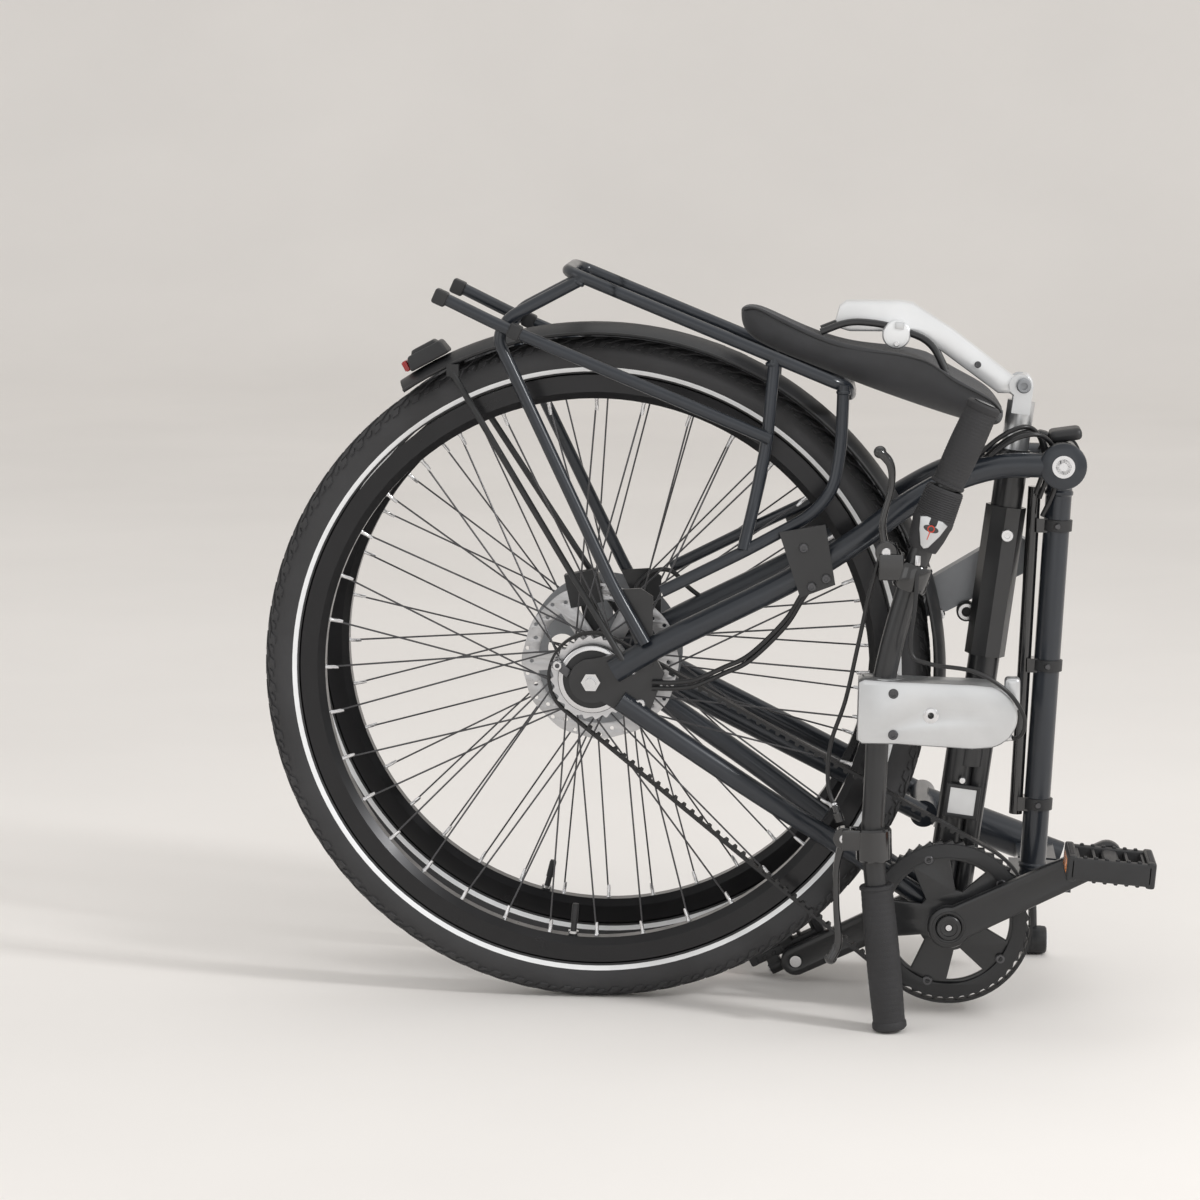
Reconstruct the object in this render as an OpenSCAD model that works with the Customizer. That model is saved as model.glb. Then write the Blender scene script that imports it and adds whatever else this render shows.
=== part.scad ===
// Folding bicycle with belt drive, in its folded and parked state.
// Every module is drawn about the rear axle: X to the front, Y to the left side, Z up.
// The last step lifts the machine onto its tyres and centres it over the floor.

/* [Wheels] */
// Outer radius of both tyres
tyre_r = 334; // [326:1:340]
// Width of the tyre section
tyre_w = 42; // [32:1:46]
// Thickness of the tyre casing
tyre_t = 3.5; // [2:0.5:5]
// Radius of the bead seat on the rim
bead_r = 292; // [285:1:295]
// Radial depth of the rim under the bead seat
rim_d = 19; // [14:1:24]
// Width of the rim
rim_w = 27; // [23:1:31]
// Spokes in each wheel
spoke_count = 36; // [28:4:36]
// Spoke radius
spoke_r = 0.9; // [0.7:0.1:1.1]
// Gap between the planes of the two folded wheels
wheel_gap = 180; // [176:1:200]
// Radius of both brake rotors
rotor_r = 80; // [70:1:85]

/* [Drive] */
// Teeth on the chainring
front_teeth = 46; // [42:1:48]
// Teeth on the rear sprocket
rear_teeth = 24; // [22:1:26]
// Pitch of the belt teeth
belt_pitch = 11; // [10.5:0.1:11.2]
// Width of the belt
belt_w = 11; // [9:1:12]
// Distance from the rear axle to the crank axle
stay_len = 427; // [420:1:440]
// Slope of the line between the two axles, below the level
stay_a = 34.2; // [33:0.1:36]
// Length of each crank arm
crank_len = 170; // [160:1:175]
// Slope of the right crank arm, above the level
crank_a = 25.7; // [20:0.1:30]
// Width of a pedal platform, along the crank arm
pedal_l = 86; // [76:1:90]
// Reach of a pedal platform, out from its axle
pedal_reach = 72; // [60:1:74]

/* [Frame] */
// Width between the rear dropouts
rear_old = 135; // [130:1:142]
// Radius of the rear stays
stay_r = 12; // [10:0.5:13]
// Lean of the seat tube, forward of upright
seat_a = 7.4; // [6:0.1:9]
// Length of the seat tube above the crank axle
seat_tube_l = 469; // [460:1:480]
// Outer radius of the seat tube
seat_tube_r = 15.5; // [15:0.1:17]
// Radius of the seatpost
post_r = 13.6; // [12.5:0.1:13.6]
// Radius of the main frame hinge pin
hinge_pin_r = 8; // [6:0.5:10]
// Radius of the main beam's label tube
beam_r = 13; // [11:0.5:14]
// Radius of the front hinge pin
front_pin_r = 5; // [4:0.5:6]
// Radius of the fork steerer
steerer_r = 14.3; // [13:0.1:14.6]

/* [Axles] */
// Radius of the rear axle
axle_r = 5; // [4.5:0.1:6]
// Radius of the front axle
front_axle_r = 4.5; // [4:0.1:6]
// Radius of the crank spindle
spindle_r = 12; // [10:0.5:13]
// Radial clearance of every running fit
fit = 0.05; // [0.03:0.01:0.1]

/* [Handlebar] */
// Radius of the handlebar tube
bar_r = 11.1; // [10:0.1:11.5]
// Radius of each grip
grip_r = 17; // [15:0.5:18]
// Radius of the accessory hole in the stem
stem_hole_r = 3; // [2:0.5:4]
// Radius of the parking spigot that holds the stem
spigot_r = 10; // [8:0.5:12]

/* [Rack] */
// Radius of the rack tubes
rack_r = 6; // [5:0.5:7]
// Half of the rack's width between its top rails
rack_half = 60; // [55:1:62]

/* [Hidden] */
$fn = 48;

// Where the machine's bounding box is centred, from the rear axle
centre_x = 108.2;
centre_y = 43.5;

// Key places in the side view, as X and Z from the rear axle
bb = [stay_len * cos(stay_a), -stay_len * sin(stay_a)];
hinge = [459, 214];
head_lo = [348, -174];
head_hi = [451, -212];
crown = [330, -167];
saddle_pivot = [418, 289];
lever_pivot_hi = [288, 138];
lever_pivot_lo = [250, -142];
cradle = [384, -18];
floor_z = -tyre_r;

flange_r = bead_r + 5;
belt_y = -47;
pitch_front = front_teeth * belt_pitch / 360 * 57.29578;
pitch_rear = rear_teeth * belt_pitch / 360 * 57.29578;
belt_gap = 0.8;
belt_t = 2.6;
run_start = 30;
drop_y = rear_old / 2;
drop_t = 6;
stay_y = drop_y + drop_t / 2 + 4;
arm_y = 50;
fork_y = 58;
front_drop_t = 6;
fender_r = tyre_r + 11;
crank_y = 72;
crank_t = 13;
pedal_gap = 4;
bar_y = -128;
lever_hub_r = 11;
stem_back = -108;
arm_lift = 9;
lamp_y = wheel_gap + 32;
stem_front = -152;

function unit(v) = v / norm(v);
function radius(r, i) = is_list(r) ? r[i] : r;
function ring(p, d, ref, r, n) =
    let (a = unit(cross(d, ref)), b = unit(cross(d, a)))
    [for (i = [0:n - 1]) p + r * (cos(360 * i / n) * a + sin(360 * i / n) * b)];
function heading(p, i) =
    let (k = len(p) - 1)
    i == 0 ? unit(p[1] - p[0])
    : i == k ? unit(p[k] - p[k - 1])
    : unit(unit(p[i + 1] - p[i]) + unit(p[i] - p[i - 1]));
// Points of a smooth curve through p, with n steps in each stretch
function curve(p, n) =
    let (k = len(p) - 1)
    [for (i = [0:k - 1], j = [0:n - 1])
        let (a = p[max(i - 1, 0)], b = p[i], c = p[i + 1], d = p[min(i + 2, k)], t = j / n)
        0.5 * (2 * b + (c - a) * t + (2 * a - 5 * b + 4 * c - d) * t * t
            + (3 * b - a - 3 * c + d) * t * t * t),
        p[k]];
// A side-view point with its Y put in
function side(p, y) = [p[0], y, p[1]];
function flip(p) = [for (q = p) [q[0], -q[1], q[2]]];

// A round tube along points, square to its own path; ref is never along the path
module swept(p, r, n = 12, ref = [0, 1, 0]) {
    k = len(p);
    rings = [for (i = [0:k - 1]) each ring(p[i], heading(p, i), ref, radius(r, i), n)];
    walls = [for (i = [0:k - 2], j = [0:n - 1])
        let (a = i * n + j, b = i * n + (j + 1) % n)
        each [[b, a, a + n], [b, a + n, b + n]]];
    near_end = [for (j = [0:n - 1]) j];
    far_end = [for (j = [n - 1:-1:0]) (k - 1) * n + j];
    polyhedron(rings, concat(walls, [near_end, far_end]));
}

// A straight round rod from a to b
module rod(a, b, r) {
    d = b - a;
    translate(a)
        rotate([0, acos(d[2] / norm(d)), atan2(d[1], d[0])])
            cylinder(h = norm(d), r = r);
}

// A cylinder across the machine, from y0 to y1, at a side-view place
module across(p, r, y0, y1) {
    translate([p[0], y1, p[1]])
        rotate([90, 0, 0])
            cylinder(h = y1 - y0, r = r);
}

// A side-view outline as a plate from y0 to y1
module plate(y0, y1) {
    translate([0, y1, 0])
        rotate([90, 0, 0])
            linear_extrude(y1 - y0)
                children();
}

// A profile of radius and side turned about the wheel axle
module turned() {
    rotate([90, 0, 0])
        rotate_extrude($fn = 96)
            children();
}

module on_front_wheel() {
    translate([0, wheel_gap, 0])
        children();
}

module on_seat_tube() {
    translate(side(bb, 0))
        rotate([0, seat_a, 0])
            children();
}

// Local X along the front hinge pin, with the pin's middle at the origin
module on_front_hinge() {
    translate([445, wheel_gap / 2, -226])
        rotate([0, 3.2, 0])
            children();
}

// ---------- wheels ----------

module tyre() {
    color("#2b2b2d")
        turned() {
            difference() {
                translate([tyre_r - tyre_w / 2, 0])
                    circle(tyre_w / 2);
                translate([tyre_r - tyre_w / 2, 0])
                    circle(tyre_w / 2 - tyre_t);
                translate([flange_r + 0.3 - tyre_w, -tyre_w])
                    square([tyre_w, 2 * tyre_w]);
            }
            for (s = [-1, 1])
                translate([bead_r, s * (rim_w / 2 - 3.5) - 1.4])
                    square([flange_r - bead_r + 1.6, 2.8]);
        }
}

module rim() {
    h = rim_w / 2;
    color("#141416")
        turned()
            difference() {
                polygon([[bead_r - rim_d, -7], [bead_r - rim_d, 7], [bead_r - rim_d + 7, h],
                    [flange_r, h], [flange_r, h - 1.8], [bead_r, h - 1.8],
                    [bead_r, 1.8 - h], [flange_r, 1.8 - h], [flange_r, -h],
                    [bead_r - rim_d + 7, -h]]);
                polygon([[bead_r - rim_d + 2, -5], [bead_r - rim_d + 2, 5],
                    [bead_r - rim_d + 8, h - 2.5], [bead_r - 2, h - 2.5],
                    [bead_r - 2, 2.5 - h], [bead_r - rim_d + 8, 2.5 - h]]);
            }
}

// Spokes laced three-cross from two flanges at plus and minus half
module spokes(hub_r, half) {
    step = 360 / spoke_count;
    color("#3a3a3c")
        for (i = [0:spoke_count - 1]) {
            s = i % 2 == 0 ? -1 : 1;
            lead = floor(i / 2) % 2 == 0 ? 1 : -1;
            a = i * step;
            b = a + lead * 60;
            rod([hub_r * cos(b), s * (half + lead * 2.8), hub_r * sin(b)],
                [(bead_r - rim_d - 0.4) * cos(a), s * 3, (bead_r - rim_d - 0.4) * sin(a)], spoke_r);
        }
}

module rotor(y) {
    color("silver")
        difference() {
            across([0, 0], rotor_r, y - 0.9, y + 0.9);
            for (i = [0:5])
                rotate([0, i * 60, 0])
                    across([45, 0], 15, y - 2, y + 2);
            across([0, 0], 17, y - 2, y + 2);
        }
}

module rear_tyre() {
    tyre();
}

module rear_rim() {
    rim();
}

module rear_spokes() {
    spokes(28, 28);
}

module rear_hub() {
    color("#b8b8bc")
        difference() {
            union() {
                across([0, 0], 18, belt_y + 5.5, 44);
                across([0, 0], 16, 44, 52);
                for (s = [-1, 1])
                    across([0, 0], 31, s * 28 - 1.5, s * 28 + 1.5);
                across([0, 0], 22, 40, 50);
            }
            across([0, 0], axle_r + fit, -51, 53);
        }
}

module rear_rotor() {
    rotor(51);
}

module rear_sprocket() {
    color("silver")
        plate(belt_y - 4.5, belt_y + 4.5)
            difference() {
                toothed(pitch_rear, rear_teeth);
                circle(axle_r + fit);
            }
}

module front_tyre() {
    on_front_wheel()
        tyre();
}

module front_rim() {
    on_front_wheel()
        rim();
}

module front_spokes() {
    on_front_wheel()
        spokes(22, 32);
}

module front_hub() {
    color("#8a8a8e")
        on_front_wheel() {
            difference() {
                union() {
                    across([0, 0], 14, -48, 48);
                    for (s = [-1, 1])
                        across([0, 0], 25, s * 32 - 1.5, s * 32 + 1.5);
                    across([0, 0], 17, -42, -39);
                }
                across([0, 0], front_axle_r + fit, -49, 49);
            }
            rotor(-42.9);
        }
}

// ---------- belt drive ----------

// Outline of a belt wheel with square teeth out to the pitch radius
module toothed(r, n) {
    polygon([for (i = [0:n - 1], k = [0:3])
        let (a = (i + [0, 0.18, 0.32, 0.86][k]) * 360 / n,
             q = r - (k == 0 || k == 3 ? 3 : 0))
        [q * cos(a), q * sin(a)]]);
}

belt_lean = asin((pitch_front - pitch_rear) / stay_len);
belt_up = 90 + belt_lean - stay_a;
belt_down = -90 - belt_lean - stay_a;

function polar(r, a) = [r * cos(a), r * sin(a)];
function arc(c, r, a0, a1, n) = [for (i = [0:n]) c + polar(r, a0 + (a1 - a0) * i / n)];
function rear_wrap(g) = arc([0, 0], pitch_rear + g, belt_up, 360 + belt_down, 30);
function front_wrap(g) = arc(bb, pitch_front + g, belt_down, belt_up, 40);

// Teeth standing inward along a free run from a to b, whose outward side is n
function run_teeth(a, b, n) =
    let (d = unit(b - a), count = floor((norm(b - a) - 2 * run_start) / belt_pitch))
    [for (i = [0:count], k = [0:3])
        a + (run_start + i * belt_pitch + [-2.6, -1.6, 1.6, 2.6][k]) * d
            - (k == 1 || k == 2 ? 3 : 0) * n];

module drive_belt() {
    rear = rear_wrap(belt_gap);
    front = front_wrap(belt_gap);
    color("#1c1c1e")
        plate(belt_y - belt_w / 2, belt_y + belt_w / 2)
            difference() {
                polygon(concat(rear_wrap(belt_gap + belt_t), front_wrap(belt_gap + belt_t)));
                polygon(concat(rear, run_teeth(rear[30], front[0], polar(1, belt_down)),
                    front, run_teeth(front[40], rear[0], polar(1, belt_up))));
            }
}

module chainring() {
    color("#1a1a1c")
        plate(belt_y - 4.5, belt_y + 4.5)
            translate(bb)
                difference() {
                    toothed(pitch_front, front_teeth);
                    circle(pitch_front - 12);
                }
}

module crank_spider() {
    color("#1a1a1c") {
        plate(belt_y - 3, belt_y + 3)
            translate(bb)
                difference() {
                    union() {
                        circle(24);
                        difference() {
                            circle(pitch_front - 12);
                            circle(pitch_front - 20);
                        }
                        for (i = [0:4])
                            rotate(i * 72 + 18)
                                translate([0, -8])
                                    square([pitch_front - 14, 16]);
                    }
                    circle(spindle_r);
                }
    }
    color("silver")
        across(bb, spindle_r, -crank_y - crank_t, crank_y + crank_t);
}

// Crank arm from the spindle along its own X, from y0 to y1
module crank_arm(y0, y1) {
    difference() {
        plate(y0, y1)
            difference() {
                union() {
                    circle(21);
                    translate([crank_len, 0])
                        circle(15);
                    polygon([[0, -17], [crank_len, -13], [crank_len, 13], [0, 17]]);
                }
                circle(spindle_r);
            }
        across([crank_len, 0], 6, y0 - 1, y1 + 1);
    }
}

module crank_arm_right() {
    color("#1a1a1c")
        translate(side(bb, 0))
            rotate([0, -crank_a, 0])
                crank_arm(-crank_y - crank_t, -crank_y);
}

module crank_arm_left() {
    color("#1a1a1c")
        translate(side(bb, 0))
            rotate([0, 180 - crank_a, 0])
                crank_arm(crank_y, crank_y + crank_t);
}

module pedal_right() {
    y1 = -crank_y - crank_t - pedal_gap;
    color("#17181a")
        translate(side(bb, 0))
            rotate([0, -crank_a, 0])
                translate([crank_len, 0, 0])
                    rotate([0, crank_a + 5, 0]) {
                        difference() {
                            translate([-pedal_l / 2, y1 - pedal_reach, -13])
                                cube([pedal_l, pedal_reach, 26]);
                            for (s = [-1, 1])
                                translate([s * 25 - 13, y1 - pedal_reach + 12, -14])
                                    cube([26, pedal_reach - 24, 28]);
                        }
                        across([0, 0], 6 - fit, y1 - 1, -crank_y);
                    }
}

fold_y = crank_y + crank_t + pedal_gap + 8;
fold_pin_r = 4;

// Puts the left pedal's parts at the end of the left crank, X along the crank
module on_left_crank() {
    translate(side(bb, 0))
        rotate([0, 180 - crank_a, 0])
            translate([crank_len, 0, 0])
                children();
}

module left_pedal_stub() {
    color("silver")
        on_left_crank() {
            across([0, 0], 6, crank_y, fold_y);
            translate([-14, fold_y, 0])
                rotate([0, 90, 0])
                    cylinder(h = 28, r = 7);
            translate([-31, fold_y, 0])
                rotate([0, 90, 0])
                    cylinder(h = 62, r = fold_pin_r);
        }
}

module pedal_left() {
    y0 = crank_y + crank_t + pedal_gap;
    color("#17181a")
        on_left_crank()
            difference() {
                union() {
                    translate([-40, y0, -pedal_reach])
                        cube([pedal_l, 22, pedal_reach]);
                    for (s = [-1, 1])
                        translate([s * 22.5 - 7, fold_y, 0])
                            rotate([0, 90, 0])
                                cylinder(h = 14, r = 7.6);
                }
                for (s = [-1, 1])
                    translate([3 + s * 20 - 11, y0 - 1, 12 - pedal_reach])
                        cube([22, 24, pedal_reach - 24]);
                translate([-15.5, y0 - 2, -9])
                    cube([31, 26, 20]);
                translate([-50, fold_y, 0])
                    rotate([0, 90, 0])
                        cylinder(h = 100, r = fold_pin_r + fit);
            }
}

// ---------- rear frame ----------

module seat_tube() {
    color("#23262b") {
        difference() {
            union() {
                on_seat_tube() {
                    translate([0, 0, 150])
                        cylinder(h = seat_tube_l - 150, r = seat_tube_r);
                    translate([0, 0, 262])
                        cylinder(h = 150, r = seat_tube_r + 4.5, $fn = 8);
                }
                rod([346, 0, -218], [367, 0, -62], 14.5);
                rod([388, 0, -66], [366, 0, -228], 10);
                across([405, 212], 9, -arm_y + 10, arm_y - 10);
                across(bb, 21, -35, 35);
            }
            on_seat_tube()
                translate([0, 0, 205])
                    cylinder(h = seat_tube_l, r = post_r + fit);
            across(bb, spindle_r + fit, -36, 36);
        }
    }
}

chainstay = [[28, -stay_y, -19], [150, -stay_y + 7, -102], [220, -48, -150], [262, -34, -178],
    [300, -30, -204], [340, -28, -231]];

module chainstay_right() {
    color("#2c3440")
        swept(curve(chainstay, 3), 0.85 * stay_r);
}

module chainstay_left() {
    color("#2c3440")
        swept(curve(flip(chainstay), 3), 0.85 * stay_r);
}

seatstay = [[22, -stay_y, 10], [73, -stay_y, 40], [190, -stay_y, 99], [253, -stay_y + 3, 137],
    [306, -66, 175], [350, -58, 199], [398, -arm_y - 2, 213], [445, -arm_y, 214]];

module seatstay_right() {
    color("#2c3440")
        swept(curve(seatstay, 3), stay_r);
}

module seatstay_left() {
    color("#2c3440")
        swept(curve(flip(seatstay), 3), stay_r);
}

module hinge_eyes() {
    color("#17181b")
        difference() {
            for (s = [-1, 1])
                across(hinge, 22, s * arm_y - 10, s * arm_y + 10);
            across(hinge, hinge_pin_r, -arm_y - 11, arm_y + 11);
        }
}

module hinge_pin() {
    color("silver") {
        across(hinge, hinge_pin_r, -arm_y - 12, arm_y + 12);
        across(hinge, hinge_pin_r + 3, -arm_y - 15, -arm_y - 12);
        across(hinge, hinge_pin_r + 3, arm_y + 12, arm_y + 15);
    }
}

module dropouts() {
    color("#17181b")
        difference() {
            for (y = [-drop_y - drop_t, drop_y])
                plate(y, y + drop_t) {
                    circle(22);
                    polygon([[-8, 20], [58, 34], [72, 8], [52, -46], [10, -20]]);
                }
            across([0, 0], axle_r, -drop_y - 10, drop_y + 10);
        }
}

module seat_clamp() {
    color("#17181b")
        on_seat_tube()
            translate([0, 0, seat_tube_l - 26])
                difference() {
                    union() {
                        cylinder(h = 24, r = seat_tube_r + 4);
                        translate([-30, -7, 4])
                            cube([16, 14, 14]);
                    }
                    translate([0, 0, -1])
                        cylinder(h = 26, r = seat_tube_r);
                }
}

module badge_plate() {
    color("silver")
        on_seat_tube()
            translate([-17, -20, 100])
                cube([30, 6, 30]);
}

module rear_axle() {
    color("silver") {
        across([0, 0], axle_r, -drop_y - drop_t - 18, drop_y + drop_t + 18);
        for (s = [-1, 1])
            plate(s * (drop_y + drop_t + 5) - 5, s * (drop_y + drop_t + 5) + 5)
                difference() {
                    circle(9.5, $fn = 6);
                    circle(axle_r);
                }
    }
}

module hub_anchor() {
    color("#1a1a1c")
        difference() {
            union() {
                across([0, 0], 34, -61, -54);
                across([0, 0], 12, -drop_y, -60);
                across([0, 0], 14, 54, drop_y);
            }
            across([0, 0], axle_r, -80, 80);
        }
}

hoop_lean = atan2(116, 282);

// Both top rails with their two rounded ends
function hoop_point(u, y) = [-30 + u * cos(hoop_lean), y, 404 - u * sin(hoop_lean)];
// The front end dips between the rails, which leaves room for the folded saddle
hoop = [hoop_point(24, -rack_half), hoop_point(290, -rack_half), hoop_point(301, -rack_half + 11),
    hoop_point(304, -31) - [0, 0, 8], hoop_point(304, 31) - [0, 0, 8],
    hoop_point(301, rack_half - 11), hoop_point(290, rack_half), hoop_point(24, rack_half)];
hoop_end = [hoop_point(50, -rack_half), hoop_point(24, -rack_half), hoop_point(6, -rack_half + 14),
    hoop_point(6, rack_half - 14), hoop_point(24, rack_half), hoop_point(50, rack_half)];
hoop_up = [sin(hoop_lean), 0, cos(hoop_lean)];
strut_front = [[245, -rack_half, 292], [243, -rack_half - 1, 230], [236, -66, 190],
    [214, -72, 165], [150, -stay_y - stay_r - rack_r + 2, 132], [70, -stay_y - stay_r - 3, 92]];
strut_mid = [[178, -rack_half, 318], [171, -66, 236], [160, -74, 180],
    [149, -stay_y - stay_r - rack_r + 1, 133]];
strut_rear = [[-8, -rack_half, 395], [-82, -66, 356], [-92, -68, 336], [24, -82, 92],
    [54, -stay_y - stay_r, 40]];

module rear_rack() {
    color("#24282e") {
        swept(hoop, rack_r, 12, hoop_up);
        swept(hoop_end, rack_r - 0.4, 12, hoop_up);
        for (m = [0, 1])
            mirror([0, m, 0]) {
                swept(strut_front, rack_r);
                swept(strut_mid, rack_r - 0.6);
                swept(strut_rear, rack_r);
            }
    }
}

pannier = [[-142, -82, 376], [-89, -80, 350], [174, -66 - rack_r, 240]];

module pannier_rails() {
    color("#24282e")
        for (m = [0, 1])
            mirror([0, m, 0]) {
                swept(pannier, rack_r);
                translate([-154, -90, 372])
                    rotate([0, 24, 0])
                        cube([14, 16, 16]);
            }
}

module rack_plates() {
    y = stay_y + stay_r;
    color("#1b1d20")
        for (m = [0, 1])
            mirror([0, m, 0]) {
                plate(-y - 3.2, -y - 0.2)
                    polygon([[184, 151], [229, 159], [239, 100], [205, 87]]);
                plate(-drop_y - drop_t - 2.6, -drop_y - drop_t)
                    polygon([[20, 91], [49, 93], [61, 85], [60, 16], [52, 10], [41, 44]]);
            }
}

module frame_bolts() {
    y = stay_y + stay_r;
    color("#101113")
        for (m = [0, 1], p = [[208, 136], [216, 98], [230, 106]])
            mirror([0, m, 0])
                across(p, 4.5, -y - 6.5, -y - 3.2);
}

module rear_fender() {
    color("#1d1f22")
        rotate([90, 0, 0])
            rotate([0, 0, -4])
                rotate_extrude(angle = 128, $fn = 96)
                    difference() {
                        translate([fender_r - 38, 0])
                            circle(42, $fn = 64);
                        translate([fender_r - 38, 0])
                            circle(40, $fn = 64);
                        translate([fender_r - 100, -60])
                            square([92, 120]);
                    }
}

module fender_stays() {
    color("#1d1f22")
        for (s = [-1, 1]) {
            rod([-142, s * 30, 302], [32, s * (drop_y + drop_t + 9), 22], 3.2);
            across([32, 22], 5, min(s * (drop_y + drop_t), s * (drop_y + drop_t + 9)),
                max(s * (drop_y + drop_t), s * (drop_y + drop_t + 9)));
            translate([-146, min(s * 23, s * 33), 296])
                cube([12, 10, 12]);
        }
}

module tail_light_housing() {
    color("#17181a")
        rotate([0, -28, 0])
            translate([-22, -20, fender_r + 4.3])
                cube([44, 40, 16]);
}

module tail_light_lens() {
    color("red")
        rotate([0, -28, 0])
            translate([-26, -14, fender_r + 6])
                cube([4, 28, 12]);
}

module rear_brake_caliper() {
    color("#17181a")
        rotate([0, -12, 0])
            difference() {
                union() {
                    translate([-17, 44, 60])
                        cube([34, 16, 34]);
                    translate([-8, 58, 12])
                        cube([16, drop_y - 58, 70]);
                }
                across([0, 0], rotor_r + 2, 49, 53);
                across([0, 0], 15, 40, drop_y + 1);
            }
}

module folded_wheel_latch() {
    color("#8c9096") {
        plate(32, 58)
            polygon([[322, 50], [336, 92], [412, 138], [432, 128], [436, 112], [428, 98], [350, 58]]);
        across([389, 108], 9, 14, 33);
    }
}

module stem_cradle() {
    color("#8c9096")
        difference() {
            union() {
                across(cradle, 15, stem_back, -seat_tube_r + 4);
                across(cradle, spigot_r, stem_back - 26, stem_back);
                on_seat_tube()
                    translate([0, 0, 206])
                        cylinder(h = 16, r1 = 24, r2 = seat_tube_r + 3.5);
            }
            on_seat_tube()
                cylinder(h = 400, r = seat_tube_r);
        }
}

module frame_cables() {
    low = [[60, -drop_y - drop_t - 2, -6], [112, -60, 0], [160, -58, 30], [206, -70, 96]];
    color("#0e0e10")
        for (k = [0, 1])
            translate([0, 0, k * 6])
                swept(curve(low, 4), 2.4, 8);
}

// ---------- main beam and front half ----------

module main_beam() {
    color("#2c3440") {
        difference() {
            union() {
                across(hinge, 20, -arm_y + 12, arm_y - 12);
                rod([459, 0, 204], [437, 0, -208], beam_r);
                on_front_hinge() {
                    translate([-30, -12 - wheel_gap / 2, arm_lift])
                        cube([60, wheel_gap / 2 - 4, 14]);
                    for (s = [-1, 1])
                        translate([s * 25 - 5, 0, 0]) {
                            rotate([0, 90, 0])
                                cylinder(h = 10, r = 13);
                            translate([0, -22, 0])
                                cube([10, 22, arm_lift + 2.5]);
                        }
                }
            }
            across(hinge, hinge_pin_r + fit, -arm_y, arm_y);
            on_front_hinge()
                translate([-40, 0, 0])
                    rotate([0, 90, 0])
                        cylinder(h = 80, r = front_pin_r);
        }
    }
}

module cable_conduit() {
    color("#17181b") {
        rod([434, 0, 188], [420, 0, -141], 6.5);
        for (z = [150, 10, -130])
            translate([421 + (z + 141) * 0.052, -9, z - 7])
                cube([17, 18, 14]);
    }
}

module front_hinge_pin() {
    color("silver")
        on_front_hinge()
            translate([-33, 0, 0])
                rotate([0, 90, 0])
                    cylinder(h = 66, r = front_pin_r);
}

module head_block() {
    lo = side(head_lo, wheel_gap);
    hi = side(head_hi, wheel_gap);
    d = unit(hi - lo);
    color("#2c3440")
        difference() {
            union() {
                rod(lo, hi, 19);
                on_front_hinge() {
                    translate([-19.5, 0, 0])
                        rotate([0, 90, 0])
                            cylinder(h = 39, r = 13);
                    translate([-19.5, 2, 3])
                        cube([39, wheel_gap / 2 - 12, 18]);
                }
            }
            rod(lo - 5 * d, hi + 40 * d, steerer_r + fit);
            on_front_hinge()
                translate([-20, 0, 0])
                    rotate([0, 90, 0])
                        cylinder(h = 40, r = front_pin_r + fit);
        }
}

module headlight() {
    z = floor_z + 15.3;
    color("#17181a") {
        rod([432, lamp_y, z], [464, lamp_y, z], 15);
        rod([448, lamp_y, z + 8], [440, wheel_gap + 21, -212], 5);
    }
}

module fork() {
    lo = side(head_lo, wheel_gap);
    hi = side(head_hi, wheel_gap);
    d = unit(hi - lo);
    color("#2c3440")
        difference() {
            union() {
                rod(side(crown, wheel_gap), lo - 1.5 * d, 18);
                rod(side(crown, wheel_gap - fork_y), side(crown, wheel_gap + fork_y), 14);
                rod(lo - 6 * d, hi + 24 * d, steerer_r);
                for (s = [-1, 1]) {
                    rod(side(crown, wheel_gap + s * fork_y), [14, wheel_gap + s * fork_y, -7], 10);
                    across([0, 0], 14, wheel_gap + s * (50 + front_drop_t / 2) - front_drop_t / 2,
                        wheel_gap + s * (50 + front_drop_t / 2) + front_drop_t / 2);
                    across([22, -11], 12, wheel_gap + s * (50 + front_drop_t / 2) - front_drop_t / 2,
                        wheel_gap + s * (50 + front_drop_t / 2) + front_drop_t / 2);
                }
            }
            across([0, 0], front_axle_r, wheel_gap - 80, wheel_gap + 80);
        }
}

module front_axle() {
    color("silver")
        on_front_wheel() {
            across([0, 0], front_axle_r, -66, 66);
            for (s = [-1, 1])
                plate(s * (54 + front_drop_t) - 4, s * (54 + front_drop_t) + 4)
                    difference() {
                        circle(8.5, $fn = 6);
                        circle(front_axle_r);
                    }
        }
}

// ---------- seat ----------

module seatpost() {
    color("silver") {
        on_seat_tube()
            translate([0, 0, 210])
                cylinder(h = 307, r = post_r);
        across(saddle_pivot, 11, -16.5, -11.9);
        across(saddle_pivot, 11, 11.9, 16.5);
        on_seat_tube()
            for (y = [-16, 12])
                translate([-9, y, 505])
                    cube([18, 4, 28]);
        across(saddle_pivot, 5, -16, 16);
    }
}

module saddle_arm() {
    color("#d4d6d8") {
        difference() {
            union() {
                plate(-11.7, 11.7)
                    polygon([[408, 296], [352, 340], [345, 342], [334, 326], [398, 280], [410, 281]]);
                across(saddle_pivot, 13, -11.7, 11.7);
                plate(-13, 13)
                    polygon([[236, 358], [246, 372], [308, 370], [356, 338], [346, 322], [300, 342],
                        [248, 342]]);
            }
            across(saddle_pivot, 5 + fit, -20, 20);
        }
        for (s = [-1, 1])
            across([296, 339], 14, min(s * 13, s * 28), max(s * 13, s * 28));
    }
}

rail = [[222, -22, 341], [250, -22, 352], [285, -22, 349], [330, -24, 333], [346, -34, 300]];

module saddle_rails() {
    color("#17181a")
        for (m = [0, 1])
            mirror([0, m, 0])
                difference() {
                    swept(rail, 3.5, 8);
                    across([296, 339], 14, -40, 0);
                }
}

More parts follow.
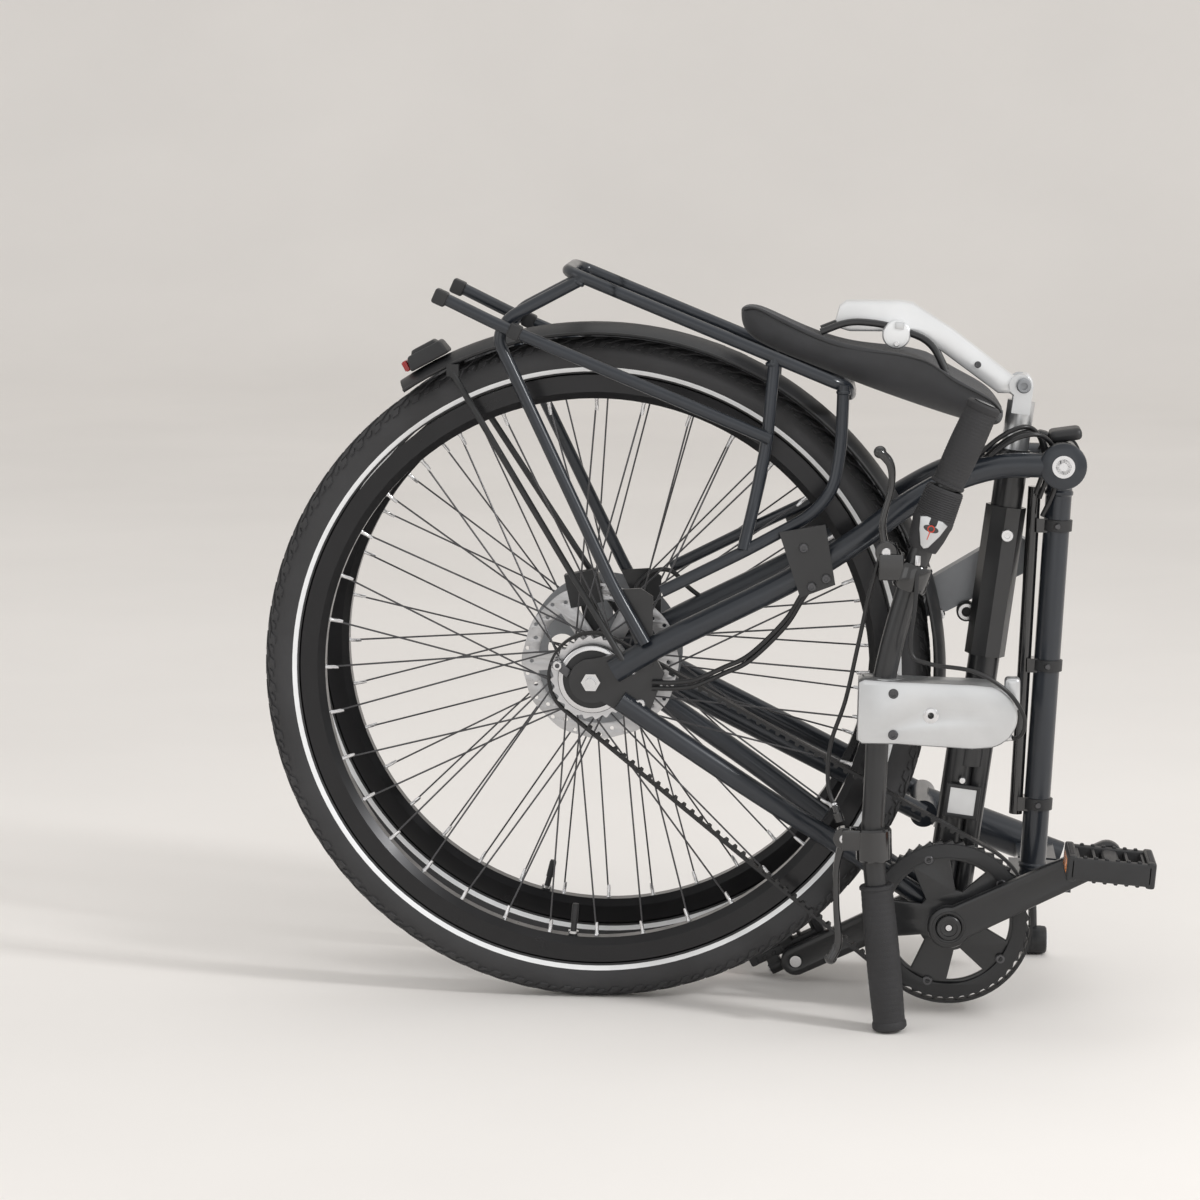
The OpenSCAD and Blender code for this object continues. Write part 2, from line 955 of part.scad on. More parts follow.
module saddle() {
    color("#26272a")
        intersection() {
            plate(-80, 80)
                polygon([[144, 357], [152, 369], [162, 369], [190, 352], [240, 331], [296, 325],
                    [322, 322], [352, 302], [385, 284], [398, 268], [397, 254], [386, 249],
                    [352, 258], [300, 274], [258, 290], [220, 306], [180, 320], [156, 334]]);
            translate([0, 0, 100])
                linear_extrude(400)
                    polygon([[140, -14], [150, -20], [230, -28], [290, -46], [330, -68], [370, -76],
                        [392, -66], [400, -40], [401, 0], [400, 40], [392, 66], [370, 76], [330, 68],
                        [290, 46], [230, 28], [150, 20], [140, 14]]);
        }
}

// ---------- handlebar ----------

bar = [[378, bar_y, 276], [339, bar_y, 188], [306, bar_y, 92], [285, bar_y, 0],
    [279, bar_y, -100], [278, bar_y, -150], [283, bar_y, -203], [295, bar_y, floor_z + 12]];

module handlebar() {
    color("#111214")
        swept(curve(bar, 3), bar_r, 16);
}

module stem() {
    color("#c9cbce")
        difference() {
            union() {
                plate(stem_front, stem_back) {
                    translate(cradle)
                        circle(31);
                    polygon([[270, 14], [cradle[0], 13], [cradle[0], -49], [267, -42]]);
                }
                rod([286, bar_y, 17], [283, bar_y, -45], 22);
            }
            rod([286.5, bar_y, 40], [282.3, bar_y, -60], bar_r + 1.5);
            across(cradle, spigot_r + fit, stem_back - 30, stem_back + 1);
            across([332, -17], stem_hole_r, stem_front - 1, stem_back + 1);
        }
}

module grips() {
    color("#1a1b1d")
        difference() {
            union() {
                rod([380, bar_y, 281], [345, bar_y, 202], grip_r);
                rod([281.5, bar_y, -188], [296, bar_y, floor_z + 2.1], grip_r);
            }
            swept(curve(bar, 3), bar_r + 0.01, 16);
        }
}

module lever_perches() {
    color("#0c0c0e")
        difference() {
            union() {
                rod([317, bar_y, 126], [309, bar_y, 102], 17);
                translate([278, bar_y - 7, 108])
                    cube([28, 14, 26]);
                rod([278, bar_y, -132], [279, bar_y, -164], 18);
                translate([258, bar_y - 7, -150])
                    cube([14, 14, 16]);
            }
            swept(curve(bar, 3), bar_r + 0.01, 16);
            across(lever_pivot_hi, lever_hub_r, bar_y - 20, bar_y + 20);
            across(lever_pivot_lo, lever_hub_r, bar_y - 20, bar_y + 20);
        }
}

lever_hi = [[288, bar_y, 138], [284, bar_y, 165], [292, bar_y, 200], [291, bar_y, 222], [281, bar_y, 234]];
lever_lo = [[250, bar_y, -142], [243, bar_y, -170], [243, bar_y, -210], [245, bar_y, -245], [238, bar_y, -262]];

module brake_lever_upper() {
    color("#0c0c0e") {
        swept(curve(lever_hi, 3), 6, 10);
        across(lever_pivot_hi, lever_hub_r - fit, bar_y - 7, bar_y + 7);
    }
}

module brake_lever_lower() {
    color("#0c0c0e") {
        swept(curve(lever_lo, 3), 6, 10);
        across(lever_pivot_lo, lever_hub_r - fit, bar_y - 7, bar_y + 7);
    }
}

module twist_shifter() {
    color("#1a1b1d")
        difference() {
            rod([344, bar_y, 200], [322, bar_y, 141], 20);
            rod([352, bar_y, 221.5], [314, bar_y, 119.6], bar_r + 1);
        }
}

// Lift onto the tyres and centre over the floor
module placed() {
    translate([-centre_x, -centre_y, tyre_r])
        children();
}

placed() seat_tube();
placed() left_pedal_stub();
placed() chainstay_right();
placed() chainstay_left();
placed() seatstay_right();
placed() seatstay_left();
placed() hinge_eyes();
placed() dropouts();
placed() seat_clamp();
placed() badge_plate();
placed() rear_axle();
placed() hub_anchor();
placed() rear_rack();
placed() pannier_rails();
placed() rack_plates();
placed() frame_bolts();
placed() rear_fender();
placed() fender_stays();
placed() tail_light_housing();
placed() tail_light_lens();
placed() rear_brake_caliper();
placed() drive_belt();
placed() folded_wheel_latch();
placed() stem_cradle();
placed() hinge_pin();
placed() frame_cables();
placed() rear_tyre();
placed() rear_rim();
placed() rear_spokes();
placed() rear_hub();
placed() rear_rotor();
placed() rear_sprocket();
placed() chainring();
placed() crank_spider();
placed() crank_arm_right();
placed() crank_arm_left();
placed() pedal_right();
placed() pedal_left();
placed() main_beam();
placed() cable_conduit();
placed() head_block();
placed() front_hinge_pin();
placed() headlight();
placed() fork();
placed() front_axle();
placed() front_tyre();
placed() front_rim();
placed() front_spokes();
placed() front_hub();
placed() seatpost();
placed() saddle_arm();
placed() saddle_rails();
placed() saddle();
placed() handlebar();
placed() stem();
placed() grips();
placed() lever_perches();
placed() brake_lever_upper();
placed() brake_lever_lower();
placed() twist_shifter();
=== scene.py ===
import math

import bmesh
import bpy
from mathutils import Matrix, Vector


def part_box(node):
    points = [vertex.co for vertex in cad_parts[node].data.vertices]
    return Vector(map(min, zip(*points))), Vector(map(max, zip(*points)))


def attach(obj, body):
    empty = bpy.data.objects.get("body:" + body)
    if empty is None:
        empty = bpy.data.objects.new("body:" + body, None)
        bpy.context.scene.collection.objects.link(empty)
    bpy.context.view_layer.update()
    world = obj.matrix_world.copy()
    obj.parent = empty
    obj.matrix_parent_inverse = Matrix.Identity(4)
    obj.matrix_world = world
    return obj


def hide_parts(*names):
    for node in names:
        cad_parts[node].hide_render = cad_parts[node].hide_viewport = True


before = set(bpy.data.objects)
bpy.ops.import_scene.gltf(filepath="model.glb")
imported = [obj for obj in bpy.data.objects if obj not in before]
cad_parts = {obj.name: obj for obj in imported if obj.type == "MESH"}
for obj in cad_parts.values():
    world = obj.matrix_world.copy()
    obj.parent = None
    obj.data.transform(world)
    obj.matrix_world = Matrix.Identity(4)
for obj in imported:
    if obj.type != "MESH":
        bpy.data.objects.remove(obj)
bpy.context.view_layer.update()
low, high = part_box("rear_tyre")
rearMid = (Vector(low) + Vector(high)) / 2
low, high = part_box("front_tyre")
frontMid = (Vector(low) + Vector(high)) / 2
print("frame loaded:", len(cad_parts), "nodes")


def at(x, y, z):
    # millimetres from the rear axle, turned into a place in the frame
    return rearMid + Vector((x, y, z)) / 1000


def smooth(points, steps=6):
    # a soft curve that passes through every point
    out = []
    last = len(points) - 1
    for i in range(last):
        a, b = points[max(i - 1, 0)], points[i]
        c, d = points[i + 1], points[min(i + 2, last)]
        for j in range(steps):
            t = j / steps
            out.append(0.5 * (2 * b + (c - a) * t + (2 * a - 5 * b + 4 * c - d) * t * t
                              + (3 * b - a - 3 * c + d) * t ** 3))
    return out + [points[-1]]


# ---- camera, floor and light ----

studio = {
    "cameraPlace": (0.1639, -3.8846, 0.9522), "cameraTurn": 4.0, "cameraTilt": 8.1, "lens": 116.7,
    "floorColour": (0.86, 0.835, 0.81), "airColour": (1.0, 0.985, 0.965), "airStrength": 0.76,
    "lights": (  # name, place, aim, width, watts
        ("keySoftbox", (3.0, -1.7, 2.5), (0.0, 0, 0.3), 0.5, 66),
        ("topSoftbox", (0.2, 0.3, 3.2), (0, 0, 0.3), 2.4, 9),
        ("leftFill", (-2.8, -2.2, 1.6), (0, 0, 0.35), 2.0, 9),
        ("frontFill", (0.3, -3.6, 0.9), (0, 0, 0.35), 2.2, 7),
    ),
}


def makeStudio():
    data = bpy.data.cameras.new("camera")
    data.lens = studio["lens"]
    data.sensor_width = 36
    data.clip_start, data.clip_end = 0.05, 60
    camera = bpy.data.objects.new("camera", data)
    camera.location = studio["cameraPlace"]
    camera.rotation_euler = (math.radians(90 - studio["cameraTilt"]), 0,
                             math.radians(studio["cameraTurn"]))
    bpy.context.scene.collection.objects.link(camera)
    bpy.context.scene.camera = camera
    for name, place, aim, width, watts in studio["lights"]:
        lamp = bpy.data.lights.new(name, "AREA")
        lamp.size, lamp.energy = width, watts
        holder = bpy.data.objects.new(name, lamp)
        holder.location = place
        holder.rotation_euler = (Vector(aim) - Vector(place)).to_track_quat("-Z", "Y").to_euler()
        bpy.context.scene.collection.objects.link(holder)
    # a floor that sweeps up into the wall behind
    shape = bmesh.new()
    wall = [(-16.0, 0.0), (6.5, 0.0)]
    wall += [(6.5 + 2.5 * math.sin(a), 2.5 - 2.5 * math.cos(a)) for a in
             [math.radians(k * 9) for k in range(1, 11)]]
    wall += [(9.0, 12.0)]
    rows = [[shape.verts.new((x, y, z)) for x in (-16, 16)] for y, z in wall]
    for one, two in zip(rows, rows[1:]):
        shape.faces.new((one[0], one[1], two[1], two[0]))
    floor = meshObject("studioFloor", shape, 60)
    floor.data.materials.append(finish("paleFloor", studio["floorColour"], 0.7, spread=0.03, grain=3,
                                       bump=0.02))
    bpy.context.scene.view_settings.view_transform = "Standard"
    world = bpy.data.worlds.new("softAir")
    bpy.context.scene.world = world
    world.use_nodes = True
    air = world.node_tree.nodes["Background"]
    air.inputs["Color"].default_value = (*studio["airColour"], 1)
    air.inputs["Strength"].default_value = studio["airStrength"]


# ---- finishes ----

def finish(name, colour, rough, metal=0.0, spread=0.12, grain=60, bump=0.12, depth=0.0002,
           roughSpread=0.08, coat=0.0, sheen=0.0, stretch=(1, 1, 1), cells=False, clear=0.0):
    # one procedural finish: cloudy colour, uneven gloss and a fine relief
    stuff = bpy.data.materials.new(name)
    stuff.use_nodes = True
    nodes, links = stuff.node_tree.nodes, stuff.node_tree.links
    skin = nodes["Principled BSDF"]
    skin.inputs["Metallic"].default_value = metal
    skin.inputs["Coat Weight"].default_value = coat
    skin.inputs["Coat Roughness"].default_value = 0.12
    skin.inputs["Sheen Weight"].default_value = sheen
    skin.inputs["Transmission Weight"].default_value = clear
    where = nodes.new("ShaderNodeTexCoord")
    turn = nodes.new("ShaderNodeMapping")
    turn.inputs["Scale"].default_value = stretch
    links.new(where.outputs["Object"], turn.inputs["Vector"])
    cloud = nodes.new("ShaderNodeTexNoise")
    cloud.inputs["Scale"].default_value = grain * 0.35
    cloud.inputs["Detail"].default_value = 5
    links.new(turn.outputs["Vector"], cloud.inputs["Vector"])
    tint = nodes.new("ShaderNodeValToRGB")
    tint.color_ramp.elements[0].position = 0.3
    tint.color_ramp.elements[1].position = 0.7
    tint.color_ramp.elements[0].color = (*[c * (1 - spread) for c in colour], 1)
    tint.color_ramp.elements[1].color = (*[min(c * (1 + spread), 1) for c in colour], 1)
    links.new(cloud.outputs["Fac"], tint.inputs["Fac"])
    links.new(tint.outputs["Color"], skin.inputs["Base Color"])
    gloss = nodes.new("ShaderNodeMapRange")
    gloss.inputs["To Min"].default_value = max(rough - roughSpread, 0.02)
    gloss.inputs["To Max"].default_value = min(rough + roughSpread, 1)
    links.new(cloud.outputs["Fac"], gloss.inputs["Value"])
    links.new(gloss.outputs["Result"], skin.inputs["Roughness"])
    if cells:
        fine = nodes.new("ShaderNodeTexVoronoi")
        height = fine.outputs["Distance"]
    else:
        fine = nodes.new("ShaderNodeTexNoise")
        fine.inputs["Detail"].default_value = 6
        height = fine.outputs["Fac"]
    fine.inputs["Scale"].default_value = grain * 12
    links.new(turn.outputs["Vector"], fine.inputs["Vector"])
    relief = nodes.new("ShaderNodeBump")
    relief.inputs["Strength"].default_value = bump
    relief.inputs["Distance"].default_value = depth
    links.new(height, relief.inputs["Height"])
    links.new(relief.outputs["Normal"], skin.inputs["Normal"])
    return stuff


def makeFinishes():
    return {
        "framePaint": finish("framePaint", (0.015, 0.019, 0.026), 0.32, 0.2, grain=90, coat=0.4),
        "blackPaint": finish("blackPaint", (0.014, 0.0145, 0.016), 0.34, 0.1, grain=90, coat=0.3),
        "satinSilver": finish("satinSilver", (0.60, 0.61, 0.62), 0.32, 0.9, 0.06, 70, 0.1,
                              stretch=(1, 3, 1)),
        "armSilver": finish("armSilver", (0.78, 0.79, 0.80), 0.33, 0.55, 0.04, 70, 0.1),
        "grayPaint": finish("grayPaint", (0.27, 0.28, 0.295), 0.42, 0.45, 0.1, 80, 0.15),
        "darkSteel": finish("darkSteel", (0.10, 0.10, 0.105), 0.3, 0.95, 0.15, 60, 0.1),
        "brightSteel": finish("brightSteel", (0.66, 0.66, 0.67), 0.24, 1.0, 0.07, 80, 0.1),
        "brushedSteel": finish("brushedSteel", (0.55, 0.55, 0.56), 0.3, 1.0, 0.1, 40, 0.35,
                               stretch=(1, 1, 9)),
        "tyreRubber": finish("tyreRubber", (0.036, 0.036, 0.038), 0.74, 0, 0.22, 45, 0.5, 0.0004,
                             0.1),
        "stripeWhite": finish("stripeWhite", (0.82, 0.83, 0.84), 0.38, 0.0, 0.04, 120, 0.3,
                              cells=True),
        "gripRubber": finish("gripRubber", (0.020, 0.020, 0.022), 0.62, 0, 0.15, 110, 0.6, 0.0004,
                             cells=True),
        "blackPlastic": finish("blackPlastic", (0.017, 0.0175, 0.019), 0.45, 0, 0.15, 130, 0.35),
        "glossBlack": finish("glossBlack", (0.008, 0.008, 0.009), 0.14, 0, 0.1, 50, 0.04, coat=0.8,
                             roughSpread=0.04),
        "rimBlack": finish("rimBlack", (0.013, 0.013, 0.0145), 0.3, 0.5, 0.12, 60, 0.12, coat=0.2),
        "saddleCover": finish("saddleCover", (0.040, 0.041, 0.045), 0.6, 0, 0.14, 190, 0.7, 0.0003,
                              cells=True, sheen=0.15),
        "cableBlack": finish("cableBlack", (0.011, 0.011, 0.012), 0.32, 0, 0.1, 80, 0.12),
        "beltRubber": finish("beltRubber", (0.014, 0.014, 0.015), 0.55, 0, 0.2, 90, 0.4),
        "lensRed": finish("lensRed", (0.42, 0.008, 0.010), 0.12, 0, 0.08, 90, 0.3, coat=0.6,
                          cells=True, clear=0.15),
        "amberReflector": finish("amberReflector", (0.75, 0.21, 0.012), 0.16, 0, 0.08, 60, 0.6,
                                 0.0005, coat=0.6, cells=True),
        "lampGlass": finish("lampGlass", (0.75, 0.77, 0.80), 0.08, 0.1, 0.05, 60, 0.2, coat=0.6,
                            cells=True),
        "dialRed": finish("dialRed", (0.55, 0.045, 0.02), 0.32, 0, 0.06, 60, 0.1),
    }


# ---- mesh helpers ----

def meshObject(name, shape, sharp=35, stuff=None):
    data = bpy.data.meshes.new(name)
    bmesh.ops.recalc_face_normals(shape, faces=shape.faces)
    shape.to_mesh(data)
    shape.free()
    data.shade_smooth()
    data.set_sharp_from_angle(angle=math.radians(sharp))
    piece = bpy.data.objects.new(name, data)
    bpy.context.scene.collection.objects.link(piece)
    if stuff:
        data.materials.append(stuff)
    return piece


def settle(piece, body, slot, *nodes):
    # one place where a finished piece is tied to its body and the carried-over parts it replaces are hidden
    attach(piece, body)
    if nodes:
        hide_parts(*nodes)
    return piece


def joined(name, pieces):
    # several pieces of one body made one object, with their finishes kept
    data = bpy.data.meshes.new(name)
    shape = bmesh.new()
    for piece in pieces:
        start = len(shape.faces)
        offset = len(data.materials)
        for stuff in piece.data.materials:
            data.materials.append(stuff)
        shape.from_mesh(piece.data)
        shape.faces.ensure_lookup_table()
        for face in shape.faces[start:]:
            face.material_index += offset
    shape.to_mesh(data)
    shape.free()
    for piece in pieces:
        bpy.data.objects.remove(piece)
    data.set_sharp_from_angle(angle=math.radians(35))
    whole = bpy.data.objects.new(name, data)
    bpy.context.scene.collection.objects.link(whole)
    return whole


def lathe(name, profile, place, axis, stuff, steps=40, closed=False, sharp=35):
    # profile is a list of radius and distance along the axis, in millimetres
    axis = Vector(axis).normalized()
    side = axis.orthogonal().normalized()
    other = axis.cross(side)
    shape = bmesh.new()
    rings = []
    for radius, along in profile:
        if radius <= 0:
            rings.append([shape.verts.new(place + axis * along / 1000)])
            continue
        rings.append([shape.verts.new(place + (axis * along + side * radius * math.cos(a)
                                               + other * radius * math.sin(a)) / 1000)
                      for a in [2 * math.pi * k / steps for k in range(steps)]])
    pairs = list(zip(rings, rings[1:]))
    if closed:
        pairs.append((rings[-1], rings[0]))
    for one, two in pairs:
        for k in range(steps):
            n = (k + 1) % steps
            loop = [one[k % len(one)], one[n % len(one)], two[n % len(two)], two[k % len(two)]]
            clean = [v for i, v in enumerate(loop) if v not in loop[:i]]
            if len(clean) > 2:
                shape.faces.new(clean)
    return meshObject(name, shape, sharp, stuff)


def block(name, size, place, stuff, turn=0, bevel=1.5, steps=2, taper=1.0, axis="Y"):
    # a rounded block of size x, y, z in millimetres, turned about its own middle
    shape = bmesh.new()
    bmesh.ops.create_cube(shape, size=1)
    for v in shape.verts:
        shrink = taper if v.co.z > 0 else 1
        v.co = Vector((v.co.x * size[0] * shrink, v.co.y * size[1] * shrink, v.co.z * size[2])) / 1000
    bmesh.ops.bevel(shape, geom=shape.edges[:], offset=bevel / 1000, segments=steps,
                    affect="EDGES", profile=0.6)
    shape.transform(Matrix.Translation(place) @ Matrix.Rotation(math.radians(turn), 4, axis))
    return meshObject(name, shape, 40, stuff)


def cutPlate(name, outer, holes, y0, y1, stuff, bevel=0.8, middle=(0, 0), turn=0, base=None):
    # a flat plate in the side view, with true holes and softened edges, from y0 to y1
    drawing = bpy.data.curves.new(name, "CURVE")
    drawing.dimensions = "2D"
    drawing.fill_mode = "BOTH"
    drawing.extrude = max((y1 - y0) / 2000 - bevel / 1000, 0.0001)
    drawing.bevel_depth = bevel / 1000
    drawing.bevel_resolution = 1
    drawing.offset = -bevel / 1000
    for ringOf in [outer] + list(holes):
        line = drawing.splines.new("POLY")
        line.points.add(len(ringOf) - 1)
        for p, (x, z) in zip(line.points, ringOf):
            p.co = (x / 1000, z / 1000, 0, 1)
        line.use_cyclic_u = True
    holder = bpy.data.objects.new(name, drawing)
    bpy.context.scene.collection.objects.link(holder)
    bpy.context.view_layer.update()
    data = bpy.data.meshes.new_from_object(holder.evaluated_get(bpy.context.evaluated_depsgraph_get()))
    bpy.data.objects.remove(holder)
    shape = bmesh.new()
    shape.from_mesh(data)
    bmesh.ops.remove_doubles(shape, verts=shape.verts, dist=1e-6)
    upright = Matrix(((1, 0, 0, 0), (0, 0, -1, 0), (0, 1, 0, 0), (0, 0, 0, 1)))
    corner = (base or rearMid) + Vector((middle[0], (y0 + y1) / 2, middle[1])) / 1000
    shape.transform(Matrix.Translation(corner) @ Matrix.Rotation(math.radians(-turn), 4, "Y") @ upright)
    return meshObject(name, shape, 40, stuff)


def disc(x, z, radius, steps=20):
    return [(x + radius * math.cos(a), z + radius * math.sin(a)) for a in
            [2 * math.pi * k / steps for k in range(steps)]]


# ---- node trees for what repeats ----

def newTree(name, sizes):
    tree = bpy.data.node_groups.new(name, "GeometryNodeTree")
    tree.interface.new_socket(name="Geometry", in_out="INPUT", socket_type="NodeSocketGeometry")
    for label, kind, value in sizes:
        socket = tree.interface.new_socket(name=label, in_out="INPUT", socket_type=kind)
        if value is not None:
            socket.default_value = value
    tree.interface.new_socket(name="Geometry", in_out="OUTPUT", socket_type="NodeSocketGeometry")
    return tree, tree.nodes.new("NodeGroupInput"), tree.nodes.new("NodeGroupOutput")


def spinTree():
    # copies of the piece round the Y axis
    tree, given, result = newTree("copiesAroundAxle", [
        ("Count", "NodeSocketInt", 18), ("Finish", "NodeSocketMaterial", None)])
    add, link = tree.nodes.new, tree.links.new
    row, index, divide = add("GeometryNodeMeshLine"), add("GeometryNodeInputIndex"), add("ShaderNodeMath")
    times, turn = add("ShaderNodeMath"), add("ShaderNodeCombineXYZ")
    stamp, real, paint = (add("GeometryNodeInstanceOnPoints"), add("GeometryNodeRealizeInstances"),
                          add("GeometryNodeSetMaterial"))
    row.inputs["Offset"].default_value = (0, 0, 0)
    divide.operation, times.operation = "DIVIDE", "MULTIPLY"
    divide.inputs[0].default_value = 2 * math.pi
    link(given.outputs["Count"], row.inputs["Count"])
    link(given.outputs["Count"], divide.inputs[1])
    link(index.outputs["Index"], times.inputs[0])
    link(divide.outputs[0], times.inputs[1])
    link(times.outputs[0], turn.inputs["Y"])
    link(row.outputs["Mesh"], stamp.inputs["Points"])
    link(given.outputs["Geometry"], stamp.inputs["Instance"])
    link(turn.outputs["Vector"], stamp.inputs["Rotation"])
    link(stamp.outputs["Instances"], real.inputs["Geometry"])
    link(real.outputs["Geometry"], paint.inputs["Geometry"])
    link(given.outputs["Finish"], paint.inputs["Material"])
    link(paint.outputs["Geometry"], result.inputs["Geometry"])
    return tree


def scatterTree():
    # a copy of one small part at each point of the piece
    tree, given, result = newTree("copiesAtPoints", [
        ("Part", "NodeSocketObject", None), ("Finish", "NodeSocketMaterial", None)])
    add, link = tree.nodes.new, tree.links.new
    part, stamp = add("GeometryNodeObjectInfo"), add("GeometryNodeInstanceOnPoints")
    real, paint = add("GeometryNodeRealizeInstances"), add("GeometryNodeSetMaterial")
    link(given.outputs["Part"], part.inputs["Object"])
    link(given.outputs["Geometry"], stamp.inputs["Points"])
    link(part.outputs["Geometry"], stamp.inputs["Instance"])
    link(stamp.outputs["Instances"], real.inputs["Geometry"])
    link(real.outputs["Geometry"], paint.inputs["Geometry"])
    link(given.outputs["Finish"], paint.inputs["Material"])
    link(paint.outputs["Geometry"], result.inputs["Geometry"])
    return tree


def tubeTree():
    # a round tube along every line of the piece
    tree, given, result = newTree("tubeAlongLine", [
        ("Radius", "NodeSocketFloat", 0.006), ("Sides", "NodeSocketInt", 20),
        ("Finish", "NodeSocketMaterial", None)])
    add, link = tree.nodes.new, tree.links.new
    ringShape, sweep = add("GeometryNodeCurvePrimitiveCircle"), add("GeometryNodeCurveToMesh")
    real, paint = add("GeometryNodeRealizeInstances"), add("GeometryNodeSetMaterial")
    sweep.inputs["Fill Caps"].default_value = True
    link(given.outputs["Radius"], ringShape.inputs["Radius"])
    link(given.outputs["Sides"], ringShape.inputs["Resolution"])
    link(given.outputs["Geometry"], sweep.inputs["Curve"])
    link(ringShape.outputs["Curve"], sweep.inputs["Profile Curve"])
    link(sweep.outputs["Mesh"], real.inputs["Geometry"])
    link(real.outputs["Geometry"], paint.inputs["Geometry"])
    link(given.outputs["Finish"], paint.inputs["Material"])
    link(paint.outputs["Geometry"], result.inputs["Geometry"])
    return tree


trees = {"spin": spinTree(), "scatter": scatterTree(), "tube": tubeTree()}


def grown(source, treeName, values, place=None, sharp=35):
    # runs one tree on the source and keeps the result as a plain mesh
    tree = trees[treeName]
    maker = source.modifiers.new("maker", "NODES")
    maker.node_group = tree
    for item in tree.interface.items_tree:
        if item.item_type == "SOCKET" and item.in_out == "INPUT" and item.name in values:
            maker[item.identifier] = values[item.name]
    bpy.context.view_layer.update()
    ready = source.evaluated_get(bpy.context.evaluated_depsgraph_get())
    data = bpy.data.meshes.new_from_object(ready)
    name = source.name
    source.modifiers.remove(maker)
    bpy.data.objects.remove(source)
    if place:
        data.transform(Matrix.Translation(place))
    shape = bmesh.new()
    shape.from_mesh(data)
    bmesh.ops.remove_doubles(shape, verts=shape.verts, dist=1e-7)
    bmesh.ops.recalc_face_normals(shape, faces=shape.faces)
    shape.to_mesh(data)
    shape.free()
    data.shade_smooth()
    data.set_sharp_from_angle(angle=math.radians(sharp))
    data.name = name
    piece = bpy.data.objects.new(name, data)
    bpy.context.scene.collection.objects.link(piece)
    return piece


def tubes(name, paths, radius, stuff, sides=20, widths=None):
    drawing = bpy.data.curves.new(name, "CURVE")
    drawing.dimensions = "3D"
    drawing.twist_mode = "MINIMUM"
    for path in paths:
        line = drawing.splines.new("POLY")
        line.points.add(len(path) - 1)
        for i, (p, place) in enumerate(zip(line.points, path)):
            p.co = (*place, 1)
            p.radius = widths[i] if widths else 1
    source = bpy.data.objects.new(name, drawing)
    bpy.context.scene.collection.objects.link(source)
    return grown(source, "tube", {"Radius": radius / 1000, "Sides": sides, "Finish": stuff})


def scattered(name, part, places, stuff):
    shape = bmesh.new()
    for place in places:
        shape.verts.new(place)
    points = meshObject(name, shape)
    piece = grown(points, "scatter", {"Part": part, "Finish": stuff})
    bpy.data.objects.remove(part)
    return piece


def screwHead(radius, height, socket=0.5, axis=(0, -1, 0)):
    # a cap screw with a sunk socket, standing on the origin
    return lathe("screwHead", [(radius, 0), (radius, height * 0.75), (radius * 0.82, height),
                               (radius * socket, height), (radius * socket * 0.92, height * 0.35),
                               (0, height * 0.3)], Vector(), axis, None, 12)


paints = makeFinishes()
makeStudio()
print("camera, studio and finishes ready")


# ---- wheels ----

wheel = {
    "tyreRadius": 334, "tyreWidth": 42, "casing": 2.6, "spokes": 36,
    "stripe": (297.5, 303.5), "treadCount": 84, "knobHeight": 1.7, "nippleRadius": 272.6,
}


def tyreProfile(radius, start, end, steps):
    # part of the round section, as wheel radius and sideways distance
    centre = wheel["tyreRadius"] - wheel["tyreWidth"] / 2
    return [(centre + radius * math.cos(math.radians(start + (end - start) * k / steps)),
             radius * math.sin(math.radians(start + (end - start) * k / steps))) for k in range(steps + 1)]


def makeTyre(name, middle, body, node):
    half = wheel["tyreWidth"] / 2 - wheel["knobHeight"]
    outside = tyreProfile(half, -138, 138, 36)
    inside = tyreProfile(half - wheel["casing"], 138, -138, 20)
    casing = lathe(name, outside + inside, middle, (0, 1, 0), paints["tyreRubber"], 144, True)
    casing.data.materials.append(paints["stripeWhite"])
    for face in casing.data.polygons:
        spot = face.center - middle
        reach = math.hypot(spot.x, spot.z) * 1000
        outward = abs(spot.y) * 1000 > half * 0.80
        if wheel["stripe"][0] - 3 < reach < wheel["stripe"][1] + 1 and outward:
            face.material_index = 1
    knobs = bmesh.new()
    centre = wheel["tyreRadius"] - wheel["tyreWidth"] / 2
    pitch = 360 / wheel["treadCount"]

    def knob(across0, across1, slant, length, shift):
        # one tread block between two angles of the section, slanted along the tyre
        corners = []
        for lift in (half - 0.4, half + wheel["knobHeight"]):
            inset = 0 if lift < half else 0.1
            for across, along in ((across0, 0), (across1, slant), (across1, slant + length),
                                  (across0, length)):
                mid = (across0 + across1) / 2
                a = math.radians(across + (mid - across) * inset)
                w = math.radians((shift + along + (length / 2 + slant / 2 - along) * inset) * pitch)
                r = centre + lift * math.cos(a)
                corners.append(knobs.verts.new((r * math.cos(w) / 1000, lift * math.sin(a) / 1000,
                                                r * math.sin(w) / 1000)))
        knobs.faces.new(corners[4:])
        knobs.faces.new(corners[:4])
        for k in range(4):
            n = (k + 1) % 4
            knobs.faces.new((corners[k], corners[n], corners[4 + n], corners[4 + k]))

    for side in (-1, 1):
        knob(side * 2, side * 17, 0.42, 0.40, 0.0 if side > 0 else 0.5)
        knob(side * 20, side * 38, 0.38, 0.46, 0.48 if side > 0 else 0.98)
        knob(side * 41, side * 60, 0.20, 0.30, 0.0 if side > 0 else 0.5)
        knob(side * 41, side * 54, 0.16, 0.22, 0.5 if side > 0 else 1.0)
    tread = meshObject(name + "Knobs", knobs, 30)
    tread = grown(tread, "spin", {"Count": wheel["treadCount"], "Finish": paints["tyreRubber"]}, middle)
    settle(joined(name, [casing, tread]), body, "tyre_rubber", node)


